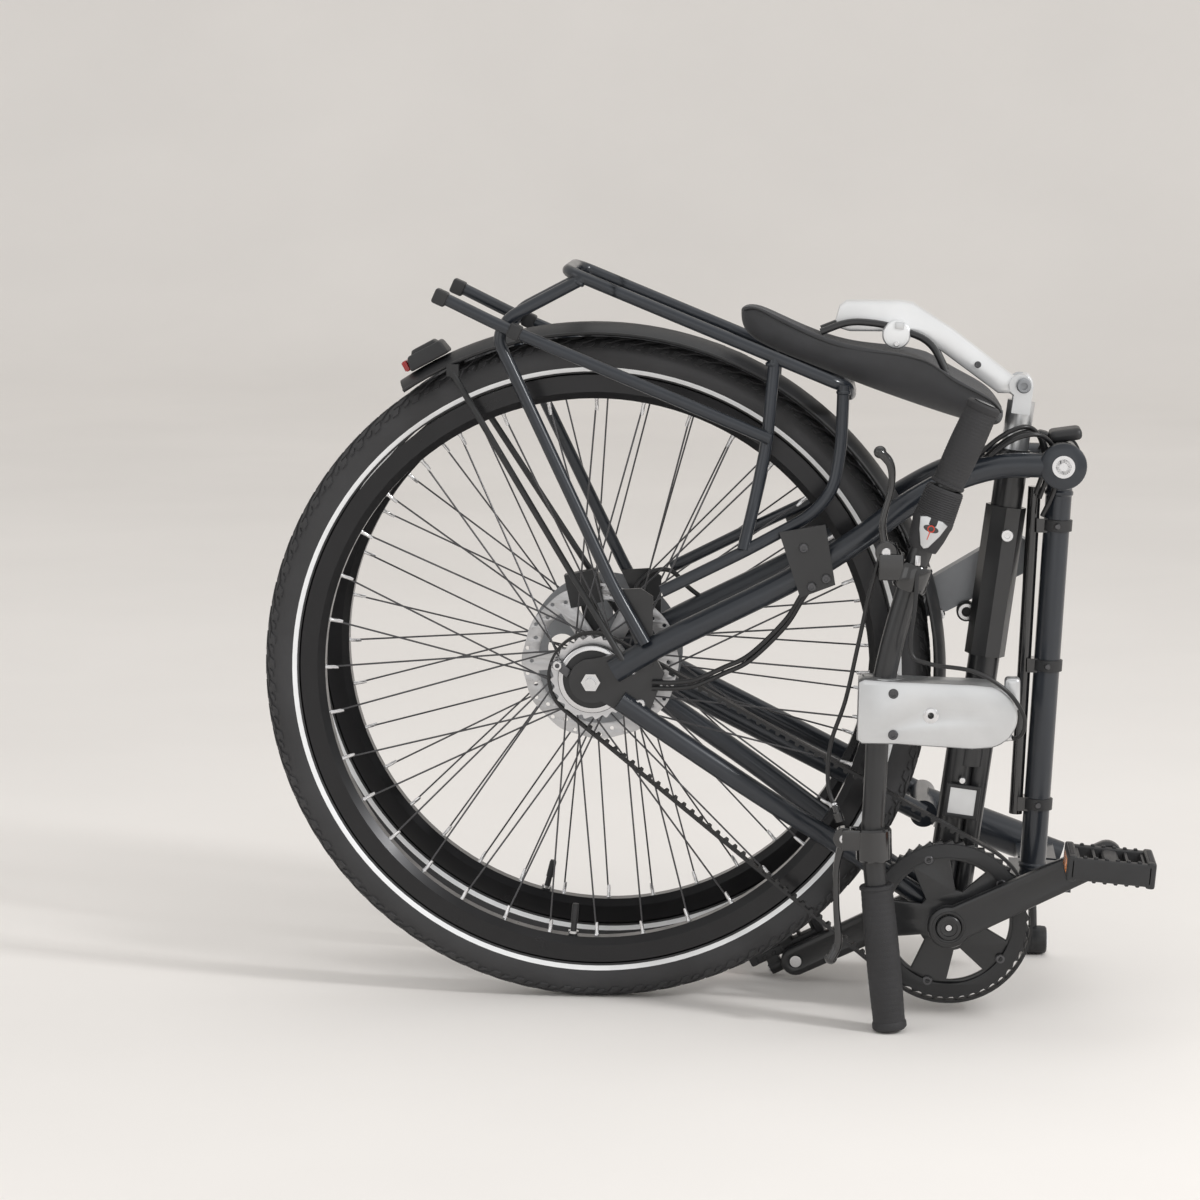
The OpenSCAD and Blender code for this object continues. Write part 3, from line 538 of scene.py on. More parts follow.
def makeSpokeEnds(name, middle, body):
    # silver nipples where the spokes enter the rim, in left and right pairs
    parts = []
    step = 360 / wheel["spokes"]
    for number, side in ((0, -1), (1, 1)):
        a = math.radians(number * step)
        root = Vector((wheel["nippleRadius"] * math.cos(a), side * 3,
                       wheel["nippleRadius"] * math.sin(a))) / 1000
        inward = Vector((-math.cos(a), side * 0.09, -math.sin(a)))
        parts.append(lathe("nipple", [(0, -2), (2.6, -2), (2.6, 0.5), (1.9, 1.5), (1.9, 9), (1.5, 12.5),
                                      (0, 12.8)],
                           root, inward, paints["brightSteel"], 10))
    pair = joined(name, parts)
    pair = grown(pair, "spin", {"Count": wheel["spokes"] // 2, "Finish": paints["brightSteel"]}, middle)
    settle(pair, body, "steel")


def makeValve(name, middle, body, angle):
    a = math.radians(angle)
    inward = Vector((-math.cos(a), 0, -math.sin(a)))
    root = middle + Vector((math.cos(a), 0, math.sin(a))) * 0.2735
    stem = lathe(name, [(0, -1), (4.2, -1), (4.2, 1.6), (3, 2.4), (3, 14), (3.6, 14.5), (3.6, 30),
                        (3.0, 32.5), (0, 33)],
                 root, inward, paints["blackPlastic"], 16)
    ridge = lathe(name + "Nut", [(3.1, 2), (5.4, 2), (5.4, 4.6), (3.1, 4.6)], root, inward,
                  paints["brightSteel"],
                  16, True)
    settle(joined(name, [stem, ridge]), body, "black_plastic")


rotorSizes = {"outer": 80, "holes": 36, "arms": 6}


def makeRotor(name, middle, body, y, rideSlot, *node):
    # a waved brake ring with drilled holes on a slim spider
    outer = [((rotorSizes["outer"] - 0.8 + 0.8 * math.cos(12 * a)) * math.cos(a),
              (rotorSizes["outer"] - 0.8 + 0.8 * math.cos(12 * a)) * math.sin(a))
             for a in [2 * math.pi * k / 144 for k in range(144)]]
    holes = [disc(0, 0, 15.2, 32)]
    for k in range(rotorSizes["holes"]):
        a = 2 * math.pi * k / rotorSizes["holes"]
        r = 75.2 if k % 2 else 69.5
        holes.append(disc(r * math.cos(a), r * math.sin(a), 2.1, 10))
    for k in range(rotorSizes["arms"]):
        window = []
        for i in range(10):
            a = math.radians(k * 60 + 9 + 44 * i / 9)
            window.append((63 * math.cos(a), 63 * math.sin(a)))
        for i in range(6):
            a = math.radians(k * 60 + 38 - 22 * i / 5)
            window.append((26 * math.cos(a), 26 * math.sin(a)))
        holes.append(window)
    ringPlate = cutPlate(name, outer, holes, y - 0.9, y + 0.9, paints["brushedSteel"], 0.15, base=middle)
    settle(ringPlate, body, rideSlot, *node)


def makeWheels():
    makeTyre("rearTyre", rearMid, "rear_wheel", "rear_tyre")
    makeTyre("frontTyre", frontMid, "front_wheel", "front_tyre")
    makeSpokeEnds("rearSpokeNipples", rearMid, "rear_wheel")
    makeSpokeEnds("frontSpokeNipples", frontMid, "front_wheel")
    makeValve("rearValve", rearMid, "rear_wheel", -95)
    makeValve("frontValve", frontMid, "front_wheel", -104)
    makeRotor("rearRotor", rearMid, "rear_wheel", 51, "steel", "rear_rotor")


makeWheels()
print("wheels ready")


# ---- belt drive and cranks ----

drive = {
    "bottomBracket": (427 * math.cos(math.radians(34.2)), -427 * math.sin(math.radians(34.2))),
    "pitchRadius": 46 * 11 / (2 * math.pi), "teeth": 46, "beltY": -47,
    "crankAngle": 25.7, "crankLength": 170, "crankY": 72, "crankThick": 13,
    "pedalWidth": 86, "pedalReach": 72, "pedalGap": 4,
}


def toothedRing(radius, count):
    out = []
    for i in range(count):
        for share, drop in ((0.0, 3), (0.16, 0.6), (0.2, 0), (0.30, 0), (0.34, 0.6), (0.86, 3)):
            a = 2 * math.pi * (i + share) / count
            out.append(((radius - drop) * math.cos(a), (radius - drop) * math.sin(a)))
    return out


def makeChainring():
    r = drive["pitchRadius"]
    holes = [disc(0, 0, r - 12, 96)]
    for k in range(30):
        a = 2 * math.pi * (k + 0.5) / 30
        holes.append(disc((r - 7.4) * math.cos(a), (r - 7.4) * math.sin(a), 1.5, 8))
    gear = cutPlate("chainring", toothedRing(r, drive["teeth"]), holes, drive["beltY"] - 4.5,
                    drive["beltY"] + 4.5, paints["blackPaint"], 0.4, drive["bottomBracket"])
    guard = cutPlate("guard", disc(0, 0, r - 3.2, 120), [disc(0, 0, r - 17, 96)], drive["beltY"] - 7.2,
                     drive["beltY"] - 4.7, paints["blackPlastic"], 0.7, drive["bottomBracket"])
    settle(joined("chainring", [gear, guard]), "crankset", "black_paint", "chainring")

    windows = []
    for k in range(5):
        span = [math.radians(k * 72 + 108 + s) for s in range(17, 56, 3)]
        windows.append([((r - 20) * math.cos(a), (r - 20) * math.sin(a)) for a in span]
                       + [(31 * math.cos(a), 31 * math.sin(a)) for a in (span[-5], span[6], span[4])])
    spider = cutPlate("crankSpider", disc(0, 0, r - 12.4, 96), windows, drive["beltY"] - 4,
                      drive["beltY"] + 3,
                      paints["blackPaint"], 1.2, drive["bottomBracket"])
    bb = at(drive["bottomBracket"][0], 0, drive["bottomBracket"][1])
    parts = [spider]
    parts.append(lathe("spindle", [(0, -82), (11.9, -82), (11.9, 82), (0, 82)],
                       bb, (0, 1, 0), paints["brightSteel"], 32))
    settle(joined("crankSpider", parts), "crankset", "black_paint", "crank_spider")

    places = []
    for k in range(5):
        a = math.radians(k * 72 + 108)
        places.append(bb + Vector(((r - 16.2) * math.cos(a), drive["beltY"] - 4.2,
                                   (r - 16.2) * math.sin(a))) / 1000)
    bolts = scattered("chainringBolts", screwHead(5, 3.4), places, paints["darkSteel"])
    settle(bolts, "crankset", "steel")


def armLoop(shrink, near=0.0, far=0.0):
    # outline of a crank arm along its own length, drawn smaller by shrink
    length = drive["crankLength"]
    root, tip = 21 - shrink, 15 - shrink
    out = [(near + root * math.cos(a), root * math.sin(a)) for a in
           [math.radians(55 + k * 250 / 16) for k in range(17)]]
    out += [(length - far + tip * math.cos(a), tip * math.sin(a)) for a in
            [math.radians(-82 + k * 164 / 12) for k in range(13)]]
    return out


def makeCrank(name, side, node):
    turn = drive["crankAngle"] if side < 0 else drive["crankAngle"] + 180
    inner = side * drive["crankY"]
    outer = side * (drive["crankY"] + drive["crankThick"])
    y0, y1 = min(inner, outer), max(inner, outer)
    bore = disc(0, 0, 12.1, 32)
    eye = disc(drive["crankLength"], 0, 6.1, 24)
    arm = cutPlate(name, armLoop(0), [bore, eye], y0, y1, paints["blackPaint"], 2.6,
                   drive["bottomBracket"], turn)
    bb = at(drive["bottomBracket"][0], 0, drive["bottomBracket"][1])
    boss = lathe("boss", [(0, -1), (12.05, -1), (12.05, 1.4), (11.2, 2), (8.6, 2), (8.2, 0.4), (4.2, 0),
                          (3.6, -0.8),
                          (0, -0.9)], bb + Vector((0, outer / 1000, 0)), (0, side, 0),
                          paints["blackPaint"], 40)
    ridge = lathe("ridge", [(14.6, -0.4), (16.6, -0.4), (16.2, 0.7), (15, 0.7)],
                  bb + Vector((0, outer / 1000, 0)),
                  (0, side, 0), paints["blackPaint"], 40, True)
    screw = lathe("screw", [(0, -0.7), (3.2, -0.7), (3.0, 0.2), (1.6, 0.2), (1.5, -0.5), (0, -0.6)],
                  bb + Vector((0, outer / 1000, 0)), (0, side, 0), paints["brightSteel"], 20)
    settle(joined(name, [arm, boss, ridge, screw]), "crankset", "black_paint", node)
    a = math.radians(turn)
    return bb + Vector((drive["crankLength"] * math.cos(a), 0, drive["crankLength"] * math.sin(a))) / 1000


def pedalCage(name, length, height, reach, coreShift=0):
    # a moulded pedal lying flat: X along the bike, -Y outwards, origin at its inner edge
    stuff = paints["blackPlastic"]
    parts = []
    ribs = 5
    for s in (-1, 1):
        parts.append(block("rail", (9, reach, height), Vector((s * (length / 2 - 4.5), -reach / 2,
                                                               0)) / 1000,
                           stuff, bevel=3, steps=3))
    for k in range(2):
        y = -5 - k * (reach - 10)
        parts.append(block("bar", (length - 4, 10, height * 0.86), Vector((0, y, 0)) / 1000, stuff,
                           bevel=3, steps=3))
    parts.append(block("core", (17, reach - 8, 19), Vector((0, -reach / 2 - coreShift, 0)) / 1000, stuff,
                       bevel=5,
                       steps=3))
    for k in range(ribs):
        x = (k - (ribs - 1) / 2) * (length - 22) / (ribs - 1)
        if abs(x) > 10:
            parts.append(block("rib", (3.2, reach - 14, height * 0.7), Vector((x, -reach / 2, 0)) / 1000,
                               stuff,
                               bevel=1, steps=2))
    for face in (-1, 1):
        for k in range(8):
            x = (k - 3.5) * (length - 12) / 7
            for y in (-5, 5 - reach):
                parts.append(block("stud", (4, 4.5, 3), Vector((x, y, face * height * 0.44)) / 1000,
                                   stuff,
                                   bevel=0.9, steps=1))
        for s in (-1, 1):
            parts.append(block("pad", (5, reach * 0.7, 2.4), Vector((s * (length / 2 - 4.5), -reach / 2,
                                                                      face * (height / 2 - 0.8))) / 1000,
                               paints["gripRubber"], bevel=0.8, steps=1))
    for s in (-1, 1):
        parts.append(block("reflector", (3, reach * 0.62, 14),
                           Vector((s * (length / 2 - 0.9), -reach / 2, 0)) / 1000,
                           paints["amberReflector"], bevel=0.9, steps=2))
    return joined(name, parts)


def makePedals(rightTip, leftTip):
    right = pedalCage("rightPedal", drive["pedalWidth"] - 1, 25.6, drive["pedalReach"] - 0.5)
    shift = -(drive["crankY"] + drive["crankThick"] + drive["pedalGap"]) / 1000
    right.data.transform(Matrix.Translation(rightTip + Vector((0, shift, 0))) @ Matrix.Rotation(
        math.radians(5), 4, "Y"))
    rod = lathe("axle", [(0, -17), (5.9, -17), (5.9, 4), (8, 4), (8, 8), (5.9, 8.6), (5.9, 12), (0, 12)],
                rightTip + Vector((0, shift, 0)), (0, -1, 0), paints["brightSteel"], 24)
    settle(joined("rightPedal", [right, rod]), "right_pedal", "black_plastic", "pedal_right")

    # the left pedal is folded flat along its crank, on a cross pin held by a stub on the crank
    fold = (drive["crankY"] + drive["crankThick"] + drive["pedalGap"] + 8) / 1000
    spin = Matrix.Rotation(math.radians(180 - drive["crankAngle"]), 4, "Y")
    toPlace = Matrix.Translation(leftTip) @ spin
    left = pedalCage("leftPedal", drive["pedalWidth"] - 1, 21.4, drive["pedalReach"] - 9.5, 1)
    left.data.transform(toPlace @ Matrix.Translation((0.003, fold + 0.003, -0.009)) @ Matrix.Rotation(
        math.radians(90), 4, "X"))
    ears = []
    for s in (-1, 1):
        ears.append(lathe("ear", [(4.1, -6.9), (7.2, -6.9), (7.5, -6), (7.5, 6), (7.2, 6.9), (4.1, 6.9)],
                          Vector((s * 0.0225, fold, 0)), (1, 0, 0), paints["blackPlastic"], 28, True))
        ears.append(block("web", (13.4, 14, 12), Vector((s * 0.0225, fold + 0.001, -0.0065)),
                          paints["blackPlastic"],
                          0, 1.6, 2))
    ears = joined("ears", ears)
    ears.data.transform(toPlace)
    settle(joined("leftPedal", [left, ears]), "left_pedal", "black_plastic", "pedal_left")
    stub = lathe("leftPedalStub", [(0, drive["crankY"]), (5.95, drive["crankY"]), (5.95, 86), (8.6, 86),
                                   (8.6, 89),
                                   (5.95, 89.6), (5.95, 97), (0, 97)], Vector(), (0, 1, 0),
                                   paints["brightSteel"], 28)
    eye = lathe("eye", [(0, -13.8), (6.2, -13.8), (6.9, -13), (6.9, 13), (6.2, 13.8), (0, 13.8)],
                Vector((0, fold, 0)), (1, 0, 0), paints["brightSteel"], 28)
    pin = lathe("pin", [(0, -31), (3.4, -31), (3.95, -30.4), (3.95, 30.4), (3.4, 31), (0, 31)],
                Vector((0, fold, 0)), (1, 0, 0), paints["brightSteel"], 20)
    stub = joined("leftPedalStub", [stub, eye, pin])
    stub.data.transform(toPlace)
    settle(stub, "crankset", "chrome_steel", "left_pedal_stub")


def makeHubFace():
    # the hub's closing disc with a silver ring, and the bolt that holds its cable arm
    ringShape = lathe("hubJointRing", [(29, 61), (33.4, 61), (33.4, 62.2), (32.4, 62.8), (29, 62.8)],
                      rearMid,
                      (0, -1, 0), paints["brightSteel"], 48, True)
    cover = lathe("cover", [(13, 61), (28.4, 61), (28.4, 62), (20, 63.4), (13, 63.4)], rearMid,
                  (0, -1, 0),
                  paints["blackPlastic"], 48, True)
    settle(joined("hubJointRing", [ringShape, cover]), "rear_frame", "steel")
    arm = cutPlate("cableAnchorArm", [(-25, 2), (-20, 9), (-34, 20), (-42, 16)], [], -66.4, -62.6,
                   paints["darkSteel"], 0.6)
    bolt = lathe("bolt", [(0, 62), (5, 62), (5, 68), (4.2, 69), (2.4, 69), (2.2, 66.4), (0, 66.2)],
                 rearMid + Vector((-0.034, 0, 0.014)), (0, -1, 0), paints["brightSteel"], 12)
    settle(joined("cableAnchor", [arm, bolt]), "rear_frame", "steel")


makeChainring()
rightEnd = makeCrank("rightCrankArm", -1, "crank_arm_right")
leftEnd = makeCrank("leftCrankArm", 1, "crank_arm_left")
makePedals(rightEnd, leftEnd)
makeHubFace()
print("drive ready")


# ---- rear frame, rack and fender ----

tubeSizes = {"stay": 12, "lowStay": 10.2, "rack": 6, "bar": 11.1, "rail": 3.5, "cable": 2.4}
rearFrame = {
    "seatstay": ((22, -74.5, 10), (73, -74.5, 40), (190, -74.5, 99), (253, -71.5, 137), (306, -66, 175),
                 (350, -58, 199), (398, -52, 213), (445, -50, 214)),
    "chainstay": ((28, -74.5, -19), (150, -67.5, -102), (220, -48, -150), (262, -34, -178),
                  (300, -30, -204),
                  (340, -28, -231)),
    "rackLean": math.atan2(116, 282), "rackHalf": 60,
    "strutFront": ((245, -60, 292), (243, -61, 230), (236, -66, 190), (214, -72, 165), (150, -90.5, 132),
                   (70, -89.5, 92)),
    "strutMid": ((178, -60, 318), (171, -66, 236), (160, -74, 180), (149, -91.5, 133)),
    "strutRear": ((-8, -60, 395), (-82, -66, 356), (-92, -68, 336), (24, -82, 92), (54, -86.5, 40)),
    "bagRail": ((-142, -82, 376), (-89, -80, 350), (174, -72, 240)),
}


def mirrored(points, side):
    return [at(x, -y * side, z) for x, y, z in points]


def rounded(points, reach=18, steps=5):
    # straight runs with a tube bend at each corner
    out = [points[0]]
    for a, b, c in zip(points, points[1:], points[2:]):
        inRun, outRun = (a - b), (c - b)
        cut = min(reach / 1000, inRun.length * 0.45, outRun.length * 0.45)
        p, q = b + inRun.normalized() * cut, b + outRun.normalized() * cut
        for k in range(steps + 1):
            t = k / steps
            out.append((1 - t) ** 2 * p + 2 * t * (1 - t) * b + t * t * q)
    return out + [points[-1]]


def hoopSpot(u, y, drop=0):
    lean = rearFrame["rackLean"]
    return at(-30 + u * math.cos(lean), y, 404 - u * math.sin(lean) - drop)


def makeRearFrame():
    paint = paints["framePaint"]
    for side, name in ((-1, "right"), (1, "left")):
        stay = tubes(name + "Seatstay", [smooth(mirrored(rearFrame["seatstay"], side))],
                     tubeSizes["stay"], paint, 28)
        settle(stay, "rear_frame", "frame_paint", "seatstay_" + name)
        stay = tubes(name + "Chainstay", [smooth(mirrored(rearFrame["chainstay"], side))],
                     tubeSizes["lowStay"],
                     paint, 28)
        settle(stay, "rear_frame", "frame_paint", "chainstay_" + name)

    half = rearFrame["rackHalf"]
    hoop = [hoopSpot(24, -half), hoopSpot(290, -half), hoopSpot(301, -half + 11), hoopSpot(304, -31, 8),
            hoopSpot(304, 31, 8), hoopSpot(301, half - 11), hoopSpot(290, half), hoopSpot(24, half)]
    rearEnd = [hoopSpot(60, -half), hoopSpot(16, -half), hoopSpot(6, -half + 12), hoopSpot(6, half - 12),
               hoopSpot(16, half), hoopSpot(60, half)]
    paths = [rounded(hoop, 9), rounded(rearEnd, 8)]
    for side in (-1, 1):
        for key in ("strutFront", "strutMid", "strutRear"):
            paths.append(rounded(mirrored(rearFrame[key], side), 16))
    settle(tubes("rack", paths, tubeSizes["rack"], paint, 20), "rear_frame", "frame_paint", "rear_rack")

    paths = [rounded(mirrored(rearFrame["bagRail"], side), 16) for side in (-1, 1)]
    rails = [tubes("bagRails", paths, tubeSizes["rack"], paint, 20)]
    for side in (-1, 1):
        rails.append(block("endCap", (14, 16, 15), at(-146, side * 82, 377), paints["blackPlastic"], 24,
                           3, 3))
        rails.append(block("strapClip", (13, 15, 15), at(-74, side * 79.6, 344), paints["blackPlastic"],
                           24, 3, 3))
    settle(joined("bagRails", rails), "rear_frame", "frame_paint", "pannier_rails")
    # weld beads where the rack's tubes meet
    beads = []
    for side in (-1, 1):
        for spot, lean in (((176, 60, 312), 5), ((245, 60, 285), 3), ((-14, 60, 391), 30)):
            beads.append(lathe("rackWelds", [(6.1, -2), (7.1, -0.8), (7.1, 0.8), (6.1, 2)],
                               at(spot[0], side * spot[1], spot[2]),
                               (math.sin(math.radians(lean)), 0, math.cos(math.radians(lean))), paint, 20,
                               True))
    settle(joined("rackWelds", beads), "rear_frame", "frame_paint")


fittings = {
    "bracketBolts": ((208, 136), (216, 98), (230, 106)), "bracketFace": 93,
    "lugBolts": ((40, 12), (48, -22)),
    "guardScrew": (54, 30),
}


def makeSmallFittings():
    face = fittings["bracketFace"]
    places = [at(x, -face + 3, z) for x, z in fittings["bracketBolts"]]
    settle(scattered("bracketBolts", screwHead(4.6, 3.6), places, paints["darkSteel"]), "rear_frame",
           "steel",
           "frame_bolts")
    places = [at(x, -73.6, z) for x, z in fittings["lugBolts"]]
    places.append(at(fittings["guardScrew"][0], -76.2, fittings["guardScrew"][1]))
    settle(scattered("dropoutBolts", screwHead(5.2, 4), places, paints["brightSteel"]), "rear_frame",
           "steel")
    # main hinge: a cap, its bolt and the black latch above it
    hinge = at(459, -65, 214)
    parts = [lathe("hingeCap", [(0, -1), (23, -1), (22.4, 0.8), (19, 2.4), (12, 3.2), (0, 3.4)],
                   hinge + Vector((0, 0.005, 0)), (0, -1, 0), paints["framePaint"], 40),
             lathe("hingeBolt", [(0, 3), (8.6, 3), (8.6, 4.2), (7.6, 5), (4, 5), (3.8, 3.8), (0, 3.7)],
                   hinge + Vector((0, 0.005, 0)), (0, -1, 0), paints["brightSteel"], 28)]
    latch = block("hingeLatch", (32, 40, 12), at(463, 0, 240), paints["blackPlastic"], -8, 6, 4)
    tongue = block("tongue", (12, 22, 9), at(441, -2, 239), paints["blackPlastic"], 14, 4, 3)
    settle(joined("hingeLatch", [latch, tongue]), "rear_frame", "black_plastic")
    settle(joined("hingeCap", parts), "rear_frame", "steel")

    # seat clamp bolt and the bolt on the side of the seat tube
    parts = [lathe("clampBolt", [(0, -11), (4, -11), (4.5, -10), (4.5, -7), (3, -7), (3, 7), (4.5, 7),
                                 (4.5, 10),
                                 (0, 10)], at(388, 0, 213), (0, 1, 0), paints["brightSteel"], 16)]
    parts.append(lathe("tubeBolt", [(0, 14), (6.5, 14), (6.5, 21), (5.6, 22.2), (3, 22.2), (2.8, 19.6),
                                    (0, 19.4)],
                       at(407, 0, 141), (0, -1, 0), paints["brightSteel"], 16))
    settle(joined("seatTubeBolts", parts), "rear_frame", "steel")

    # polished plate in its black frame, low on the seat tube
    lean = math.radians(7.4)
    middle = at(353.2 + 115 * math.sin(lean) - 2, 0, -240 + 115 * math.cos(lean))
    bezel = cutPlate("badgeBezel", [(-17, -17), (17, -17), (17, 17), (-17, 17)],
                     [[(-13, -13), (13, -13), (13, 13), (-13, 13)]],
                     -21.8, -18.6, paints["blackPlastic"], 0.9, ((middle - rearMid).x * 1000,
                                                                 (middle - rearMid).z * 1000),
                     -7.4)
    stud = lathe("badgeBolt", [(0, 19), (3.4, 19), (3.4, 22.6), (2.8, 23.4), (0, 23.6)],
                 middle + Vector((0, 0, 0.0215)), (0, -1, 0), paints["brightSteel"], 14)
    settle(joined("badgeBezel", [bezel, stud]), "rear_frame", "black_plastic")

    # latch arm that holds the folded wheel: eye bolt, roller and end cap
    parts = [lathe("latchEyeBolt", [(0, 0), (7, 0), (7, 5), (5.8, 6.4), (3.6, 6.4), (3.4, 3.6), (0, 3.4)],
                   at(341, 33, 55), (0, -1, 0), paints["brightSteel"], 20),
             lathe("roller", [(0, -1), (10, -1), (10, 11), (9.2, 12), (5, 12), (4.6, 9), (0, 9)],
                   at(369, 33, 59),
                   (0, -1, 0), paints["blackPlastic"], 24),
             lathe("rollerRing", [(5, 12.2), (8, 12.2), (8, 13), (5, 13)], at(369, 33, 59), (0, -1, 0),
                   paints["brightSteel"], 24, True)]
    settle(joined("latchFittings", parts), "rear_frame", "steel")


def makeLights():
    # stepped, tapered rear light with a ribbed lens
    turn = math.radians(-28)
    up = Vector((math.sin(turn), 0, math.cos(turn)))
    back = Vector((-math.cos(turn), 0, math.sin(turn)))
    centre = rearMid + up * 0.357
    body = block("tailLight", (43, 39, 15), centre, paints["blackPlastic"], -28, 3.5, 4, 0.86)
    hood = block("hood", (30, 26, 5), centre + up * 0.0085, paints["blackPlastic"], -28, 2, 3, 0.8)
    settle(joined("tailLight", [body, hood]), "rear_frame", "black_plastic", "tail_light_housing")
    ribs = [block("tailLens", (4.5, 26, 11), centre + back * 0.0235, paints["lensRed"], -28, 1.6, 3)]
    for k in range(5):
        ribs.append(block("rib", (1.4, 1.2, 9.4),
                          centre + back * 0.0262 + Vector((0, (k - 2) * 0.005, 0)),
                          paints["lensRed"], -28, 0.4, 1))
    settle(joined("tailLens", ribs), "rear_frame", "lens_red", "tail_light_lens")

    # front lamp, folded in beside the beam
    spot = at(448, 212, -318.7)
    shell = lathe("frontLamp", [(0, -15.6), (8, -15.6), (12.5, -13), (14.6, -7), (14.9, 8), (14.2, 13),
                                (12.4, 14.6),
                                (12.4, 13.0), (0, 13.0)], spot, (1, 0, 0), paints["blackPlastic"], 32)
    glass = lathe("glass", [(0, 13.2), (12.2, 13.2), (10, 15.2), (5, 16), (0, 16.2)], spot, (1, 0, 0),
                  paints["lampGlass"], 32)
    fins = [lathe("fin", [(14.7, x), (15.2, x), (15.2, x + 1.4), (14.7, x + 1.4)], spot, (1, 0, 0),
                  paints["blackPlastic"], 32, True) for x in (-5, -1, 3)]
    bracket = tubes("bracket", [smooth([at(448, 212, -306), at(447, 209, -280), at(443, 204, -240),
                                        at(440, 201, -213)])],
                    4.6, paints["blackPaint"], 14)
    settle(joined("frontLamp", [shell, glass, bracket] + fins), "front_half", "black_plastic",
           "headlight")


def makeFender():
    # rolled edges along both rims of the fender
    edge = []
    for side in (-1, 1):
        path = []
        for k in range(49):
            a = math.radians(-4 + 128 * k / 48)
            path.append(at(339.2 * math.cos(a), side * 29.2, 339.2 * math.sin(a)))
        edge.append(path)
    rims = tubes("fenderEdges", edge, 1.5, paints["blackPlastic"], 8)
    settle(rims, "rear_frame", "black_plastic")


makeRearFrame()
makeSmallFittings()
makeLights()
makeFender()
print("rear frame ready")


# ---- beam and front half ----

beam = {"clipHeights": (150, 10, -130)}


def makeBeam():
    # bands that clasp the cable guide to the beam, each with its screw
    parts = []
    run = (at(459, 0, 204) - at(437, 0, -208)).normalized()
    for z in beam["clipHeights"]:
        share = (z + 208) / 412
        spot = at(437 + 22 * share, 0, z)
        parts.append(lathe("beamClips", [(13.1, -6), (15.4, -5.4), (15.4, 5.4), (13.1, 6)], spot, run,
                           paints["blackPlastic"], 32, True))
        parts.append(lathe("clipScrew", [(0, 14), (3, 14), (3, 17.4), (2.3, 18.2), (0, 18.2)], spot,
                           (0, -1, 0),
                           paints["darkSteel"], 12))
    settle(joined("beamClips", parts), "main_beam_half", "black_plastic")
    # welded collars at both ends of the beam
    collars = [lathe("beamWelds", [(13.1, -3), (14.4, -1.2), (14.4, 1.2), (13.1, 3)], at(457.7, 0, 182),
                     run,
                     paints["framePaint"], 32, True),
               lathe("weld", [(13.1, -3), (14.6, -1.2), (14.6, 1.2), (13.1, 3)], at(437.8, 0, -193), run,
                     paints["framePaint"], 32, True)]
    settle(joined("beamWelds", collars), "main_beam_half", "frame_paint")


makeBeam()
print("beam ready")


# ---- handlebar, stowed beside the seat tube ----

barY = -128
bar = {
    "path": ((378, 276), (339, 188), (306, 92), (285, 0), (279, -100), (278, -150), (283, -203),
             (295, -322)),
    "upperLever": ((288, 138), (284, 165), (292, 200), (291, 222), (281, 234)),
    "lowerLever": ((250, -142), (243, -170), (243, -210), (245, -245), (238, -262)),
    "gripRings": 22,
}


def makeGrip(name, top, end):
    # a ribbed grip between two points, with a capped end and an inner flange
    run = (end - top)
    length = run.length * 1000
    profile = [(11.2, 0), (15.8, 0), (16.8, 1.2), (16.8, 3.4), (15.4, 4.2)]
    rings = bar["gripRings"]
    start, finishAt = 6, length - 8
    for k in range(rings):
        a = start + (finishAt - start) * k / rings
        b = (finishAt - start) / rings
        swell = 15.6 + 1.0 * math.sin(math.pi * k / rings)
        profile += [(swell - 0.12, a), (swell, a + b * 0.25), (swell, a + b * 0.7),
                    (swell - 0.12, a + b * 0.9)]
    profile += [(16.4, finishAt + 0.6), (16.9, finishAt + 2), (16.9, length - 2), (15, length),
                (11.2, length)]
    sleeve = lathe(name, profile, top, run, paints["gripRubber"], 40, True)
    cap = lathe("cap", [(0, -2), (9.5, -2), (10.2, -1), (10.2, 1.5), (0, 1.5)],
                end - run.normalized() * 0.0005,
                run, paints["glossBlack"], 32)
    return [sleeve, cap]


